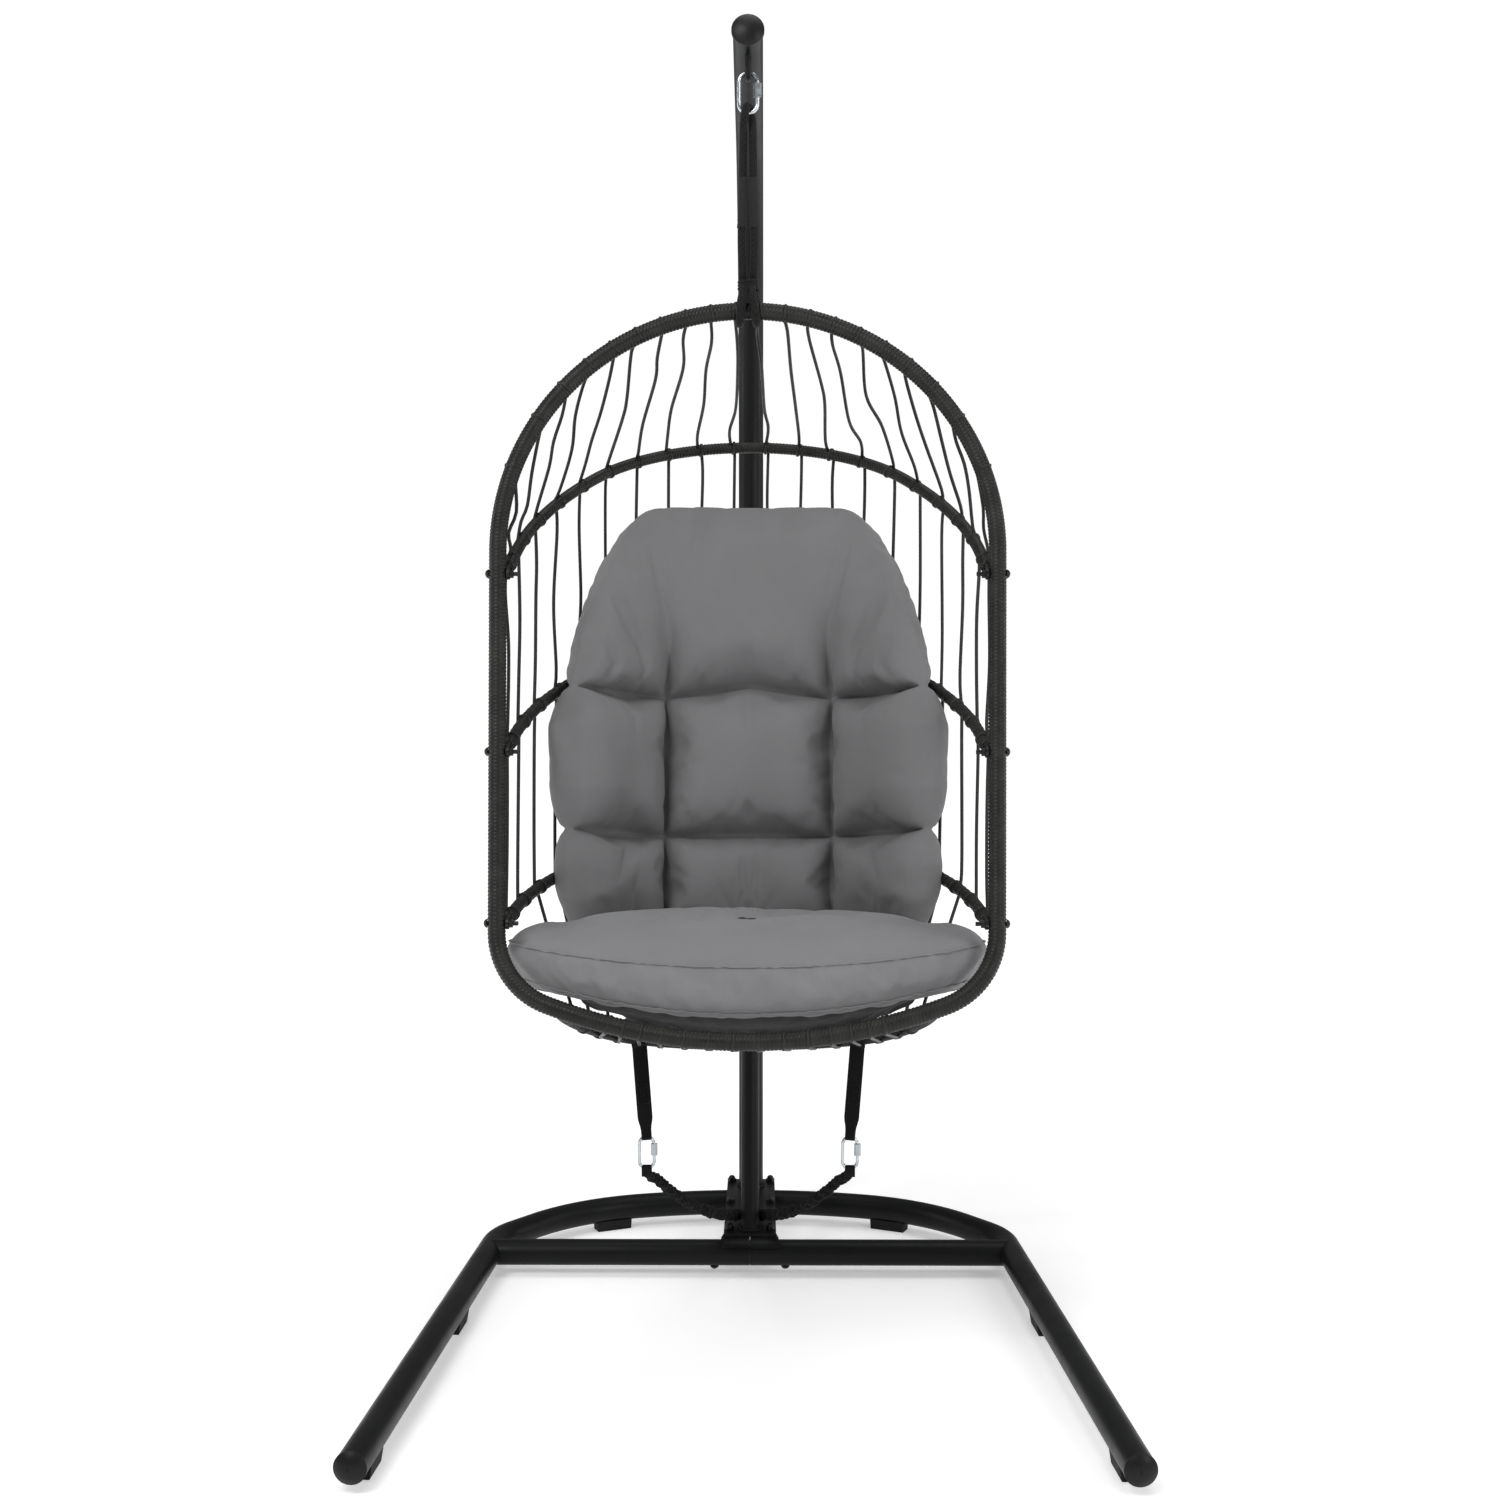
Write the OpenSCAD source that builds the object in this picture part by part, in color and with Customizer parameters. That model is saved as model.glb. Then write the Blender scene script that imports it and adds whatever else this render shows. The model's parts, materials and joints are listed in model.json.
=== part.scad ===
// Hanging egg chair: a steel stand carries a wicker wrapped basket on a short rope sling.
// Millimetres, +Z up, +Y to the back. The origin is on the floor in the middle of the footprint.

/* [Stand tube] */
// Outer diameter of the base, leg and pole tube
tube_d = 42; // [40:1:46]
// Outer diameter of the brace tube
brace_d = 30; // [26:1:32]
// Wall of every stand tube
tube_wall = 1.5; // [1.2:0.1:2]
// Height of the rubber foot pads under the tube
pad_h = 14; // [10:1:18]

/* [Base] */
// Overall depth, from the leg caps to the back of the plate
base_depth = 1190; // [1150:5:1250]
// Crossbar centre to the back edge of the plate
plate_reach = 322; // [318:1:330]
// Crossbar centre to the centre of the pole and of the rear arc
pole_back = 283; // [280:1:288]
// Radius of the rear arc in its middle
arc_r = 750; // [700:10:800]
// Turn of the rear arc on each side of the middle
arc_turn = 15; // [14:0.5:16]
// Radius of the shoulder bend
shoulder_r = 320; // [310:5:330]
// Turn of the shoulder bend
shoulder_turn = 38; // [36:0.5:40]
// Radius of the bend into the leg
corner_r = 120; // [110:5:130]
// Angle by which each leg points outwards
toe_out = 4.4; // [3:0.1:6]
// Crossbar centre to the seam between base tube and leg
seam_front = 165; // [140:5:200]

/* [Pole and arm] */
// Height of the seam between lower and upper pole
pole_seam_z = 1050; // [1000:10:1100]
// Height at which the pole starts to bend forward
bend_start_z = 1334; // [1300:1:1380]
// Radius of the bend at the top
top_bend_r = 500; // [480:5:520]
// Turn of the bend, so that the arm still rises
top_bend_turn = 76; // [74:1:80]
// Length of the straight arm
arm_len = 305; // [290:5:315]
// Height at which the brace's centre line meets the pole's
brace_top_z = 1000; // [940:10:1040]
// Crossbar centre to the foot of the brace
brace_foot_back = 29; // [26:1:34]

/* [Hanger] */
// Distance of the hanger eye behind the arm's end
eye_back = 42; // [38:1:50]
// Rod of the hanger eye
eye_rod_d = 9; // [8:0.5:10]
// Drop of the eye's bar below the arm's centre line
eye_drop = 45; // [43:1:55]
// Rod of the top quick link
link_rod_d = 6; // [5:0.5:7]
// Width of the top quick link
link_w = 32; // [30:1:36]
// Length of the top quick link
link_h = 61; // [58:1:70]
// Diameter of the two sling ropes
rope_d = 12; // [10:0.5:13]

/* [Basket] */
// Height of the loop's top centre
loop_top_z = 1515; // [1500:5:1530]
// Forward lean of the loop's plane, bottom towards the front
loop_tilt = 16; // [14:0.5:18]
// Wrapped diameter of the loop
loop_d = 24; // [22:0.5:26]
// Steel tube inside the loop
loop_core_d = 19; // [16:1:20]
// Radius of the loop's round top
arch_r = 347; // [335:1:355]
// Length of the loop's straight sides
side_len = 530; // [500:5:560]
// Inward lean of the sides going down
side_lean = 1.2; // [0.8:0.1:1.6]
// Radius of the loop's lower corners
loop_corner_r = 106; // [95:1:115]
// Turn of the curved bottom on each side of the middle
bottom_turn = 20.7; // [18:0.1:23]
// Wrapped diameter of the three back hoops
hoop_d = 17; // [15:0.5:18]
// Steel rod inside every hoop
hoop_core_d = 10; // [8:0.5:11]
// Wrapped diameter of the seat hoop
seat_hoop_d = 19; // [17:0.5:20]
// Diameter of one wicker strand
strand_d = 5; // [4:0.5:6]
// Strands on each side of the middle
strands_a_side = 10; // [8:1:10]

/* [Cushions] */
// Outer radius of the curved back cushion
back_outer_r = 278; // [268:1:282]
// Thickness of the back cushion
back_thick = 90; // [80:5:100]
// Height of the back cushion along its lean
back_h = 645; // [620:1:655]
// Thickness of the seat cushion at its edge
seat_thick = 118; // [105:1:122]
// Crown of the seat cushion above its edge
seat_crown = 22; // [10:1:26]

/* [Safety strap] */
// Width of the strap webbing
strap_w = 22; // [18:1:25]
// Diameter of the gathered elastic sleeve
elastic_d = 18; // [14:1:20]
// Sideways place of each strap on the seat hoop
strap_x = 162; // [150:1:175]

/* [Hidden] */
$fn = 64;
tube_r = tube_d / 2;
tube_z = pad_h + tube_r;
crossbar_y = base_depth / 2 - plate_reach;
pole_y = crossbar_y + pole_back;
sleeve_clear = 0.4;
inner_d = tube_d - 2 * tube_wall - sleeve_clear;

// Rear arc, shoulder, short straight, corner and stub, on the right side, in the plane of the base
corner_turn = 90 - toe_out - arc_turn - shoulder_turn;
leg_heading = toe_out - 90;
bend_path = [
    [0, arc_r, -arc_turn],
    [0, shoulder_r, -shoulder_turn],
    [55, 0, 0],
    [0, corner_r, -corner_turn]
];
seam_gap = 0.6;
bend_end = path_end(bend_path, [0, pole_y], 0);
seam_y = crossbar_y - seam_front;
stub_len = (bend_end[1] - seam_y) / cos(toe_out);
base_path = concat(bend_path, [[stub_len - seam_gap / 2, 0, 0]]);
seam_x = bend_end[0] + stub_len * sin(toe_out);
crossbar_end_x = bend_end[0] + (bend_end[1] - crossbar_y) * tan(toe_out);
cap_rim = 4;
cap_dome = 8;
leg_len = (seam_y + base_depth / 2 - tube_r * sin(toe_out)) / cos(toe_out) - cap_rim - cap_dome + 1.5;

// Gussets and plate
gusset_t = 4;
gusset_z = tube_z + tube_r;
plate_t = 5;
plate_z = gusset_z + gusset_t + 0.2;
plate_top_z = plate_z + plate_t;
plate_bolt_x = 34;
plate_bolt_ys = [crossbar_y + 27, crossbar_y + 180, crossbar_y + 308];
bolt_d = 8;

// Arm
arm_rise = 90 - top_bend_turn;
bend_end_y = pole_y - top_bend_r * (1 - cos(top_bend_turn));
bend_end_z = bend_start_z + top_bend_r * sin(top_bend_turn);
arm_end_y = bend_end_y - arm_len * cos(arm_rise);
arm_end_z = bend_end_z + arm_len * sin(arm_rise);
eye_y = arm_end_y + eye_back;
eye_axis_z = arm_end_z - eye_back * tan(arm_rise);
eye_bar_z = eye_axis_z - eye_drop;
eye_half = 18;
link_gap = 0.4;
link_top_z = eye_bar_z + eye_rod_d / 2 + link_gap + link_rod_d;
link_mid_z = link_top_z - link_h / 2;
link_bottom_z = link_top_z - link_h;

// Basket: distances s run down the loop's plane from its top centre
side_heading = 90 - side_lean;
bottom_r = (arch_r * sin(side_heading) - side_len * cos(side_heading)
    - loop_corner_r * (sin(side_heading) - sin(bottom_turn))) / sin(bottom_turn);
loop_path = [
    [0, bottom_r, bottom_turn],
    [0, loop_corner_r, side_heading - bottom_turn],
    [side_len, 0, 0],
    [0, arch_r, 180 + 2 * side_lean],
    [side_len, 0, 0],
    [0, loop_corner_r, side_heading - bottom_turn],
    [0, bottom_r, bottom_turn]
];
side_top_s = arch_r * (1 + sin(side_lean));
loop_len = side_top_s + side_len * cos(side_lean)
    + loop_corner_r * (cos(bottom_turn) - sin(side_lean)) + bottom_r * (1 - cos(bottom_turn));
function loop_y(s) = eye_y - s * sin(loop_tilt);
function loop_z(s) = loop_top_z - s * cos(loop_tilt);
function side_x(s) = arch_r * cos(side_lean) - (s - side_top_s) * tan(side_lean);
function bottom_s(x) = loop_len - bottom_r + sqrt(bottom_r * bottom_r - x * x);
function loop_point(x, s) = [x, loop_y(s), loop_z(s)];
function arch_point(x) = loop_point(x, arch_r - sqrt(arch_r * arch_r - x * x));

// Hoops: [distance s of the pivot, rise to the back, depth, half width, wrapped diameter]
tab_t = 4;
tab_gap = 0.6;
tab_offset = loop_d / 2 + tab_gap + tab_t / 2;
straight_in = 14;
seat_hoop_x = 250;
hoops = [
    [386, 23, 504, side_x(386) - tab_offset, hoop_d],
    [637, 15, 475, side_x(637) - tab_offset, hoop_d],
    [872, 6, 455, side_x(872) - tab_offset, hoop_d],
    [bottom_s(seat_hoop_x), -19, 405, seat_hoop_x, seat_hoop_d]
];
side_arc_r = 700;
function oval_depth(k) = hoops[k][2] - straight_in;
function oval_turn(k) = 90 - 2 * atan((side_arc_r - oval_depth(k)) / (side_arc_r - hoops[k][3]));
function oval_back_r(k) = side_arc_r - (side_arc_r - hoops[k][3]) / cos(oval_turn(k));
function oval_centre(k) = oval_depth(k) - oval_back_r(k);
function oval_y(k, x) = abs(x) <= oval_back_r(k) * cos(oval_turn(k))
    ? oval_centre(k) + sqrt(pow(oval_back_r(k), 2) - x * x)
    : sqrt(pow(side_arc_r, 2) - pow(abs(x) + side_arc_r - hoops[k][3], 2));
function hoop_point(k, x) = [
    x,
    loop_y(hoops[k][0]) + (oval_y(k, x) + straight_in) * cos(hoops[k][1]),
    loop_z(hoops[k][0]) + (oval_y(k, x) + straight_in) * sin(hoops[k][1])
];
function hoop_path(k) = [
    [straight_in, 0, 0],
    [0, side_arc_r, -oval_turn(k)],
    [0, oval_back_r(k), 2 * oval_turn(k) - 180],
    [0, side_arc_r, -oval_turn(k)],
    [straight_in, 0, 0]
];
function strand_x(k, i) = hoops[k][3] * sin((i + 0.5) * 90 / strands_a_side);
hoop_bolt_d = 6;
strand_trim = 3;
seat_strands = 8;

// Cushions
back_lean = 12.5;
back_axis_y = eye_y - 113;
back_axis_z = 655;
back_half_turn = 76;
seat_front_y = eye_y - 250;
seat_front_z = 530;
seat_fall = 7;

// Safety strap
strap_link_rod_d = 5;
strap_link_w = 27;
strap_link_h = 52;
strap_link_x = 150;
strap_link_y = crossbar_y - 330;
strap_link_z = 292;
strap_t = 2.5;

// Route of the elastic, right half, from the link to the middle behind the brace
tail_route = [
    [150, -330, 262],
    [147, -312, 252],
    [136, -280, 236],
    [118, -235, 206],
    [97, -172, 170],
    [76, -110, 140]
];
middle_route = [
    [75, -107, 139],
    [60, -55, 118],
    [45, -5, 100],
    [30, 38, 86],
    [15, 66, 78],
    [0, 74, 76],
    [-15, 66, 78],
    [-30, 38, 86],
    [-45, -5, 100],
    [-60, -55, 118],
    [-75, -107, 139]
];

// Path steps are [straight length, bend radius, turn]; a left turn is positive
function step_end(p, h, s) = s[1] == 0
    ? p + s[0] * [cos(h), sin(h)]
    : p + sign(s[2]) * s[1] * [sin(h + s[2]) - sin(h), cos(h) - cos(h + s[2])];
function path_states(steps, start, heading) = [
    for (i = 0, p = start, h = heading;
        i <= len(steps);
        p = i < len(steps) ? step_end(p, h, steps[i]) : p,
        h = i < len(steps) ? h + steps[i][2] : h,
        i = i + 1)
    [p, h]
];
function path_end(steps, start, heading) = path_states(steps, start, heading)[len(steps)][0];

// Shared shapes

module ring(outer, inner) {
    difference() {
        circle(d = outer);
        circle(d = inner);
    }
}

// Pipe of one round section along a flat path, in the XY plane, a hairline between its lengths.
// It starts after a lead, so that two mirrored pipes leave a seam.
module pipe(steps, start, heading, outer, inner, lead = 0) {
    states = path_states(steps, start, heading);
    for (i = [0 : len(steps) - 1]) {
        p = states[i][0];
        step = steps[i];
        turn = step[2];
        skip = i == 0 ? lead : 0;
        translate([p[0], p[1], 0])
            rotate([0, 0, states[i][1]])
                if (turn == 0)
                    rotate([0, 90, 0])
                        translate([0, 0, skip])
                            linear_extrude(step[0] - skip - hairline) section(outer, inner);
                else
                    translate([0, sign(turn) * step[1], 0])
                        rotate([0, 0, turn > 0 ? arc_turn_of(skip, step[1]) - 90
                                               : 90 + turn + arc_turn_of(hairline, step[1])])
                            rotate_extrude(angle = abs(turn) - arc_turn_of(skip + hairline, step[1]))
                                translate([step[1], 0]) section(outer, inner);
    }
}

hairline = 0.06;
function arc_turn_of(distance, r) = distance / r * 180 / PI;

module section(outer, inner) {
    if (inner > 0)
        ring(outer, inner);
    else
        circle(d = outer);
}

// Straight round rod between two points, shortened by a trim at each end
module rod_between(p, q, d, trim_p, trim_q) {
    run = q - p;
    full = norm(run);
    translate(p)
        rotate([0, acos(run[2] / full), atan2(run[1], run[0])])
            translate([0, 0, trim_p])
                cylinder(d = d, h = full - trim_p - trim_q);
}

module both_sides() {
    children();
    mirror([1, 0, 0]) children();
}

// Low round head with a domed top, standing on z = 0
module dome_head(d, h) {
    ball_r = (d * d / 4 + h * h) / (2 * h);
    intersection() {
        translate([0, 0, h - ball_r]) sphere(r = ball_r);
        cylinder(d = d, h = h);
    }
}

// Frame of the loop's plane: X to the right, Y up the plane, origin at the distance s
module on_loop(s) {
    translate([0, loop_y(s), loop_z(s)]) rotate([90 - loop_tilt, 0, 0]) children();
}

module at_hoop(k) {
    translate([0, loop_y(hoops[k][0]), loop_z(hoops[k][0])]) rotate([hoops[k][1], 0, 0]) children();
}

// Stand

module base_bend_right() {
    color("#26282a")
        translate([0, 0, tube_z])
            pipe(base_path, [0, pole_y], 0, tube_d, tube_d - 2 * tube_wall, seam_gap / 2);
}

module base_bend_left() {
    mirror([1, 0, 0]) base_bend_right();
}

module crossbar_right() {
    color("#26282a")
        difference() {
            translate([seam_gap / 2, crossbar_y, tube_z])
                rotate([0, 90, 0])
                    difference() {
                        cylinder(d = tube_d, h = crossbar_end_x);
                        translate([0, 0, -1])
                            cylinder(d = tube_d - 2 * tube_wall, h = crossbar_end_x + 2);
                        crossbar_screw_holes();
                    }
            // Coped end, a hair clear of the base tube that it is welded to
            translate([crossbar_end_x, crossbar_y, tube_z])
                rotate([0, 0, leg_heading])
                    rotate([0, 90, 0])
                        cylinder(d = tube_d + sleeve_clear, h = 4 * tube_d, center = true);
            translate([crossbar_end_x, crossbar_y - tube_d, 0])
                cube([2 * tube_d, 2 * tube_d, 2 * tube_z]);
        }
}

crossbar_screw_x = 58;

module crossbar_screw_holes() {
    translate([0, 0, crossbar_screw_x])
        rotate([0, 90, 0])
            cylinder(d = bolt_d + sleeve_clear, h = tube_d);
}

module crossbar_left() {
    mirror([1, 0, 0]) crossbar_right();
}

module crossbar_sleeve() {
    color("silver")
        difference() {
            translate([-90, crossbar_y, tube_z])
                rotate([0, 90, 0])
                    linear_extrude(180) ring(inner_d, inner_d - 4);
            both_sides()
                translate([crossbar_screw_x, crossbar_y, 0])
                    cylinder(d = bolt_d + sleeve_clear, h = tube_z);
        }
}

module crossbar_screws() {
    color("#1b1c1d")
        both_sides()
            translate([crossbar_screw_x, crossbar_y, pad_h - 0.3]) {
                translate([0, 0, -1]) cylinder(d = bolt_d, h = 12);
                mirror([0, 0, 1]) dome_head(15, 6);
            }
}

module gusset_right() {
    lip_ring_d = tube_d + 0.4;
    color("#26282a") {
        difference() {
            translate([0, crossbar_y, gusset_z + 0.1])
                linear_extrude(gusset_t)
                    polygon([
                        [seam_gap / 2, 0], [47, 0], [43, 22],
                        [41.5, plate_reach], [seam_gap / 2, plate_reach]
                    ]);
            plate_holes();
        }
        // Front lip, rolled over the crossbar
        translate([seam_gap / 2, crossbar_y, tube_z])
            rotate([90, 0, 90])
                linear_extrude(47 - seam_gap / 2)
                    intersection() {
                        ring(lip_ring_d + 2 * gusset_t - 0.2, lip_ring_d);
                        polygon([[0, 0], [0, tube_d], [-tube_d, tube_d], [-tube_d, 0.62 * tube_d]]);
                    }
    }
}

module gusset_left() {
    mirror([1, 0, 0]) gusset_right();
}

module plate_holes() {
    for (x = [-plate_bolt_x, plate_bolt_x], y = plate_bolt_ys)
        translate([x, y, gusset_z - 1]) cylinder(d = bolt_d + sleeve_clear, h = 4 * plate_t);
}

module leg_right() {
    color("#26282a")
        translate([seam_x, seam_y, tube_z])
            rotate([0, 0, leg_heading])
                rotate([0, 90, 0])
                    translate([0, 0, seam_gap / 2])
                        linear_extrude(leg_len - seam_gap / 2) ring(tube_d, tube_d - 2 * tube_wall);
}

module leg_left() {
    mirror([1, 0, 0]) leg_right();
}

// Runs along the leg from the seam
module along_leg(distance) {
    translate([seam_x, seam_y, tube_z])
        rotate([0, 0, leg_heading])
            rotate([0, 90, 0])
                translate([0, 0, distance]) children();
}

module leg_spigots() {
    spigot_half = 60;
    color("silver")
        both_sides()
            along_leg(-spigot_half)
                linear_extrude(2 * spigot_half) ring(inner_d, inner_d - 4);
}

module leg_caps() {
    color("#1b1c1d")
        both_sides()
            along_leg(leg_len) {
                translate([0, 0, -25]) cylinder(d = inner_d, h = 26);
                translate([0, 0, 0.1]) cylinder(d = tube_d + 1.5, h = cap_rim);
                translate([0, 0, cap_rim]) dome_head(tube_d + 1.5, cap_dome);
            }
}

// Rubber block with a round saddle for the tube, lying along X
module foot_pad(saddle_d) {
    pad_len = 60;
    difference() {
        translate([-pad_len / 2, 0, 0])
            rotate([90, 0, 90])
                linear_extrude(pad_len)
                    polygon([[-12, 0], [12, 0], [16, pad_h + 9], [-16, pad_h + 9]]);
        translate([-pad_len, 0, tube_z])
            rotate([0, 90, 0]) cylinder(d = saddle_d, h = 2 * pad_len);
    }
}

module foot_pads() {
    shoulder_angle = 24;
    shoulder_start = step_end([0, pole_y], 0, bend_path[0]);
    pad_step = step_end(shoulder_start, -arc_turn, [0, shoulder_r, arc_turn - shoulder_angle]);
    color("#161616")
        both_sides() {
            translate([pad_step[0], pad_step[1], 0])
                rotate([0, 0, -shoulder_angle]) foot_pad(tube_d + 3.5);
            for (distance = [95, 620])
                translate([seam_x + distance * sin(toe_out), seam_y - distance * cos(toe_out), 0])
                    rotate([0, 0, leg_heading]) foot_pad(tube_d + sleeve_clear);
        }
}

module mount_plate() {
    color("#26282a")
        difference() {
            translate([0, crossbar_y, plate_z])
                linear_extrude(plate_t)
                    polygon([[-43, 2], [43, 2], [41.5, plate_reach], [-41.5, plate_reach]]);
            plate_holes();
        }
}

// Button headed bolts from below
module plate_bolts() {
    color("#1b1c1d")
        for (x = [-plate_bolt_x, plate_bolt_x], y = plate_bolt_ys)
            translate([x, y, gusset_z]) {
                translate([0, 0, -1]) cylinder(d = bolt_d, h = gusset_t + plate_t + 7);
                mirror([0, 0, 1]) dome_head(14, 5);
            }
}

module plate_nuts() {
    color("#1b1c1d")
        for (x = [-plate_bolt_x, plate_bolt_x], y = plate_bolt_ys)
            translate([x, y, plate_top_z + 0.1])
                difference() {
                    union() {
                        cylinder(d = 15, h = 5, $fn = 6);
                        translate([0, 0, 5]) dome_head(12, 6);
                    }
                    translate([0, 0, -1]) cylinder(d = bolt_d + sleeve_clear, h = 9);
                }
}

module pole_lower() {
    color("#26282a")
        difference() {
            translate([0, pole_y, plate_top_z + 0.1])
                linear_extrude(pole_seam_z - plate_top_z - 0.4) ring(tube_d, tube_d - 2 * tube_wall);
            pole_screw_holes();
        }
}

pole_screw_rise = 35;
pole_screw_d = 6;

module pole_screw_holes() {
    for (side = [-1, 1])
        translate([0, pole_y, pole_seam_z + side * pole_screw_rise])
            rotate([-90, 0, 0]) cylinder(d = pole_screw_d + sleeve_clear, h = tube_d);
}

module pole_upper() {
    upper_path = [
        [bend_start_z - pole_seam_z, 0, 0],
        [0, top_bend_r, -top_bend_turn],
        [arm_len, 0, 0]
    ];
    color("#26282a")
        difference() {
            // The path lies in the YZ plane
            translate([0, pole_y, pole_seam_z])
                rotate([90, 0, -90])
                    pipe(upper_path, [0, 0], 90, tube_d, tube_d - 2 * tube_wall, 0.2);
            translate([0, pole_y, pole_seam_z + pole_screw_rise])
                rotate([-90, 0, 0]) cylinder(d = pole_screw_d + sleeve_clear, h = tube_d);
        }
}

module pole_sleeve() {
    sleeve_half = 80;
    color("silver")
        difference() {
            translate([0, pole_y, pole_seam_z - sleeve_half])
                linear_extrude(2 * sleeve_half) ring(inner_d, inner_d - 4);
            pole_screw_holes();
        }
}

module pole_screws() {
    color("#1b1c1d")
        for (side = [-1, 1])
            translate([0, pole_y, pole_seam_z + side * pole_screw_rise])
                rotate([-90, 0, 0]) {
                    translate([0, 0, tube_r - 6]) cylinder(d = pole_screw_d, h = 7);
                    translate([0, 0, tube_r + 0.1]) dome_head(12, 4);
                }
}

module brace_tube() {
    foot = [0, crossbar_y + brace_foot_back, plate_top_z + 0.1];
    top = [0, pole_y, brace_top_z];
    tail = 20;
    color("#26282a")
        difference() {
            rod_between(foot, top, brace_d, -tail, 0);
            rod_between(foot, top, brace_d - 2 * tube_wall, -2 * tail, -tail);
            translate([-tube_d, crossbar_y - tube_d, plate_top_z + 0.1 - 2 * tail])
                cube([2 * tube_d, 3 * tube_d, 2 * tail]);
            translate([0, pole_y, 0]) cylinder(d = tube_d + sleeve_clear, h = 2 * brace_top_z);
        }
}

// Frame of the arm's end: Z runs out along the arm
module at_arm_end() {
    translate([0, arm_end_y, arm_end_z]) rotate([90 - arm_rise, 0, 0]) children();
}

module arm_cap() {
    color("#1b1c1d")
        at_arm_end() {
            translate([0, 0, -25]) cylinder(d = inner_d, h = 26);
            translate([0, 0, 0.1]) cylinder(d = tube_d + 4, h = 5);
            translate([0, 0, 5]) dome_head(tube_d + 4, 7);
        }
}

module hanger_eye() {
    leg_drop = eye_drop - eye_half;
    color("#26282a")
        difference() {
            translate([0, eye_y, eye_bar_z + eye_half])
                rotate([90, 0, 90]) {
                    pipe([[leg_drop, 0, 0], [0, eye_half, 180], [leg_drop, 0, 0]],
                        [-eye_half, leg_drop], -90, eye_rod_d, 0);
                }
            // Cut back to the outside of the arm
            translate([0, arm_end_y, arm_end_z])
                rotate([90 - arm_rise, 0, 0])
                    translate([0, 0, -arm_len]) cylinder(d = tube_d + sleeve_clear, h = arm_len);
        }
}

// Quick links: an oval rod with a gap on one side, closed by a hexagonal sleeve. They hang in XZ.
link_gap_low = 7;
link_gap_high = 12;

module quick_link(w, h, d) {
    bend_r = (w - d) / 2;
    side = h - w;
    gap_low = link_gap_low;
    gap_high = min(link_gap_high, side / 2 - 0.5);
    rotate([90, 0, 0])
        pipe([
            [side / 2 - gap_high, 0, 0],
            [0, bend_r, 180],
            [side, 0, 0],
            [0, bend_r, 180],
            [side / 2 + gap_low, 0, 0]
        ], [bend_r, gap_high], 90, d, 0);
}

module link_sleeve(w, h, d, across) {
    side = h - w;
    low = link_gap_high + 1.5 - sleeve_len(side);
    translate([(w - d) / 2, 0, low])
        difference() {
            cylinder(d = across, h = sleeve_len(side), $fn = 6);
            translate([0, 0, -1]) cylinder(d = d + sleeve_clear, h = sleeve_len(side) + 2);
        }
}

function sleeve_len(side) = side / 2 + link_gap_high + 1.5 - sleeve_travel;
sleeve_travel = 8.5;

module top_link() {
    color("#c8cdd0")
        translate([0, eye_y, link_mid_z]) quick_link(link_w, link_h, link_rod_d);
}

module top_link_sleeve() {
    color("#b4babd")
        translate([0, eye_y, link_mid_z]) link_sleeve(link_w, link_h, link_rod_d, 12);
}

rope_top_x = 6.6;
rope_foot_x = 11.5;

module sling_ropes() {
    color("#151516")
        both_sides()
            rod_between([rope_top_x, eye_y, link_bottom_z - 1], [rope_foot_x, eye_y, loop_top_z],
                rope_d, 0, loop_d / 2 + 1);
}

module rope_sleeves() {
    band_len = 70;
    band_top = 85;
    foot = [rope_foot_x, eye_y, loop_top_z];
    top = [rope_top_x, eye_y, link_bottom_z - 1];
    along = (foot - top) / norm(foot - top);
    p = top + band_top * along;
    q = p + band_len * along;
    color("#1d1d1e")
        both_sides()
            difference() {
                rod_between(p, q, rope_d + 1.1, 0, 0);
                rod_between(p, q, rope_d + 0.3, -1, -1);
            }
}

// Basket

module hoop_bolt_holes() {
    for (k = [0 : 2])
        translate([-1.2 * arch_r, loop_y(hoops[k][0]), loop_z(hoops[k][0])])
            rotate([0, 90, 0]) cylinder(d = hoop_bolt_d + sleeve_clear, h = 2.4 * arch_r);
}

module loop_core() {
    color("#2b2c2d")
        difference() {
            on_loop(loop_len) pipe(loop_path, [0, 0], 0, loop_core_d, loop_core_d - 2.4);
            hoop_bolt_holes();
        }
}

module loop_wrap() {
    color("#34342f")
        difference() {
            on_loop(loop_len) pipe(loop_path, [0, 0], 0, loop_d, loop_core_d + sleeve_clear);
            hoop_bolt_holes();
        }
}

// Steel rod of a hoop with a flat, drilled tab at each end
module bolted_hoop_core(k) {
    half = hoops[k][3];
    tab_back = straight_in + 4;
    difference() {
        union() {
            at_hoop(k) pipe(hoop_path(k), [-half, 0], 90, hoop_core_d, 0);
            at_hoop(k)
                both_sides()
                    translate([half - tab_t / 2, 0, 0])
                        rotate([90, 0, 90])
                            linear_extrude(tab_t) {
                                circle(d = 16);
                                translate([0, -8]) square([tab_back, 16]);
                            }
        }
        at_hoop(k)
            both_sides()
                for (side = [-1, 1])
                    translate([half + side * (tab_t / 2 + hoop_core_d) - hoop_core_d, -9, -9])
                        cube([2 * hoop_core_d, straight_in + 7, 18]);
        hoop_bolt_holes();
    }
}

module upper_hoop_core() {
    color("#2b2c2d") bolted_hoop_core(0);
}

module upper_hoop_wrap() {
    color("#34342f") wrap_behind_tab(0);
}

module middle_hoop_core() {
    color("#2b2c2d") bolted_hoop_core(1);
}

module middle_hoop_wrap() {
    color("#34342f") wrap_behind_tab(1);
}

module lower_hoop_core() {
    color("#2b2c2d") bolted_hoop_core(2);
}

module lower_hoop_wrap() {
    color("#34342f") wrap_behind_tab(2);
}

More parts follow.
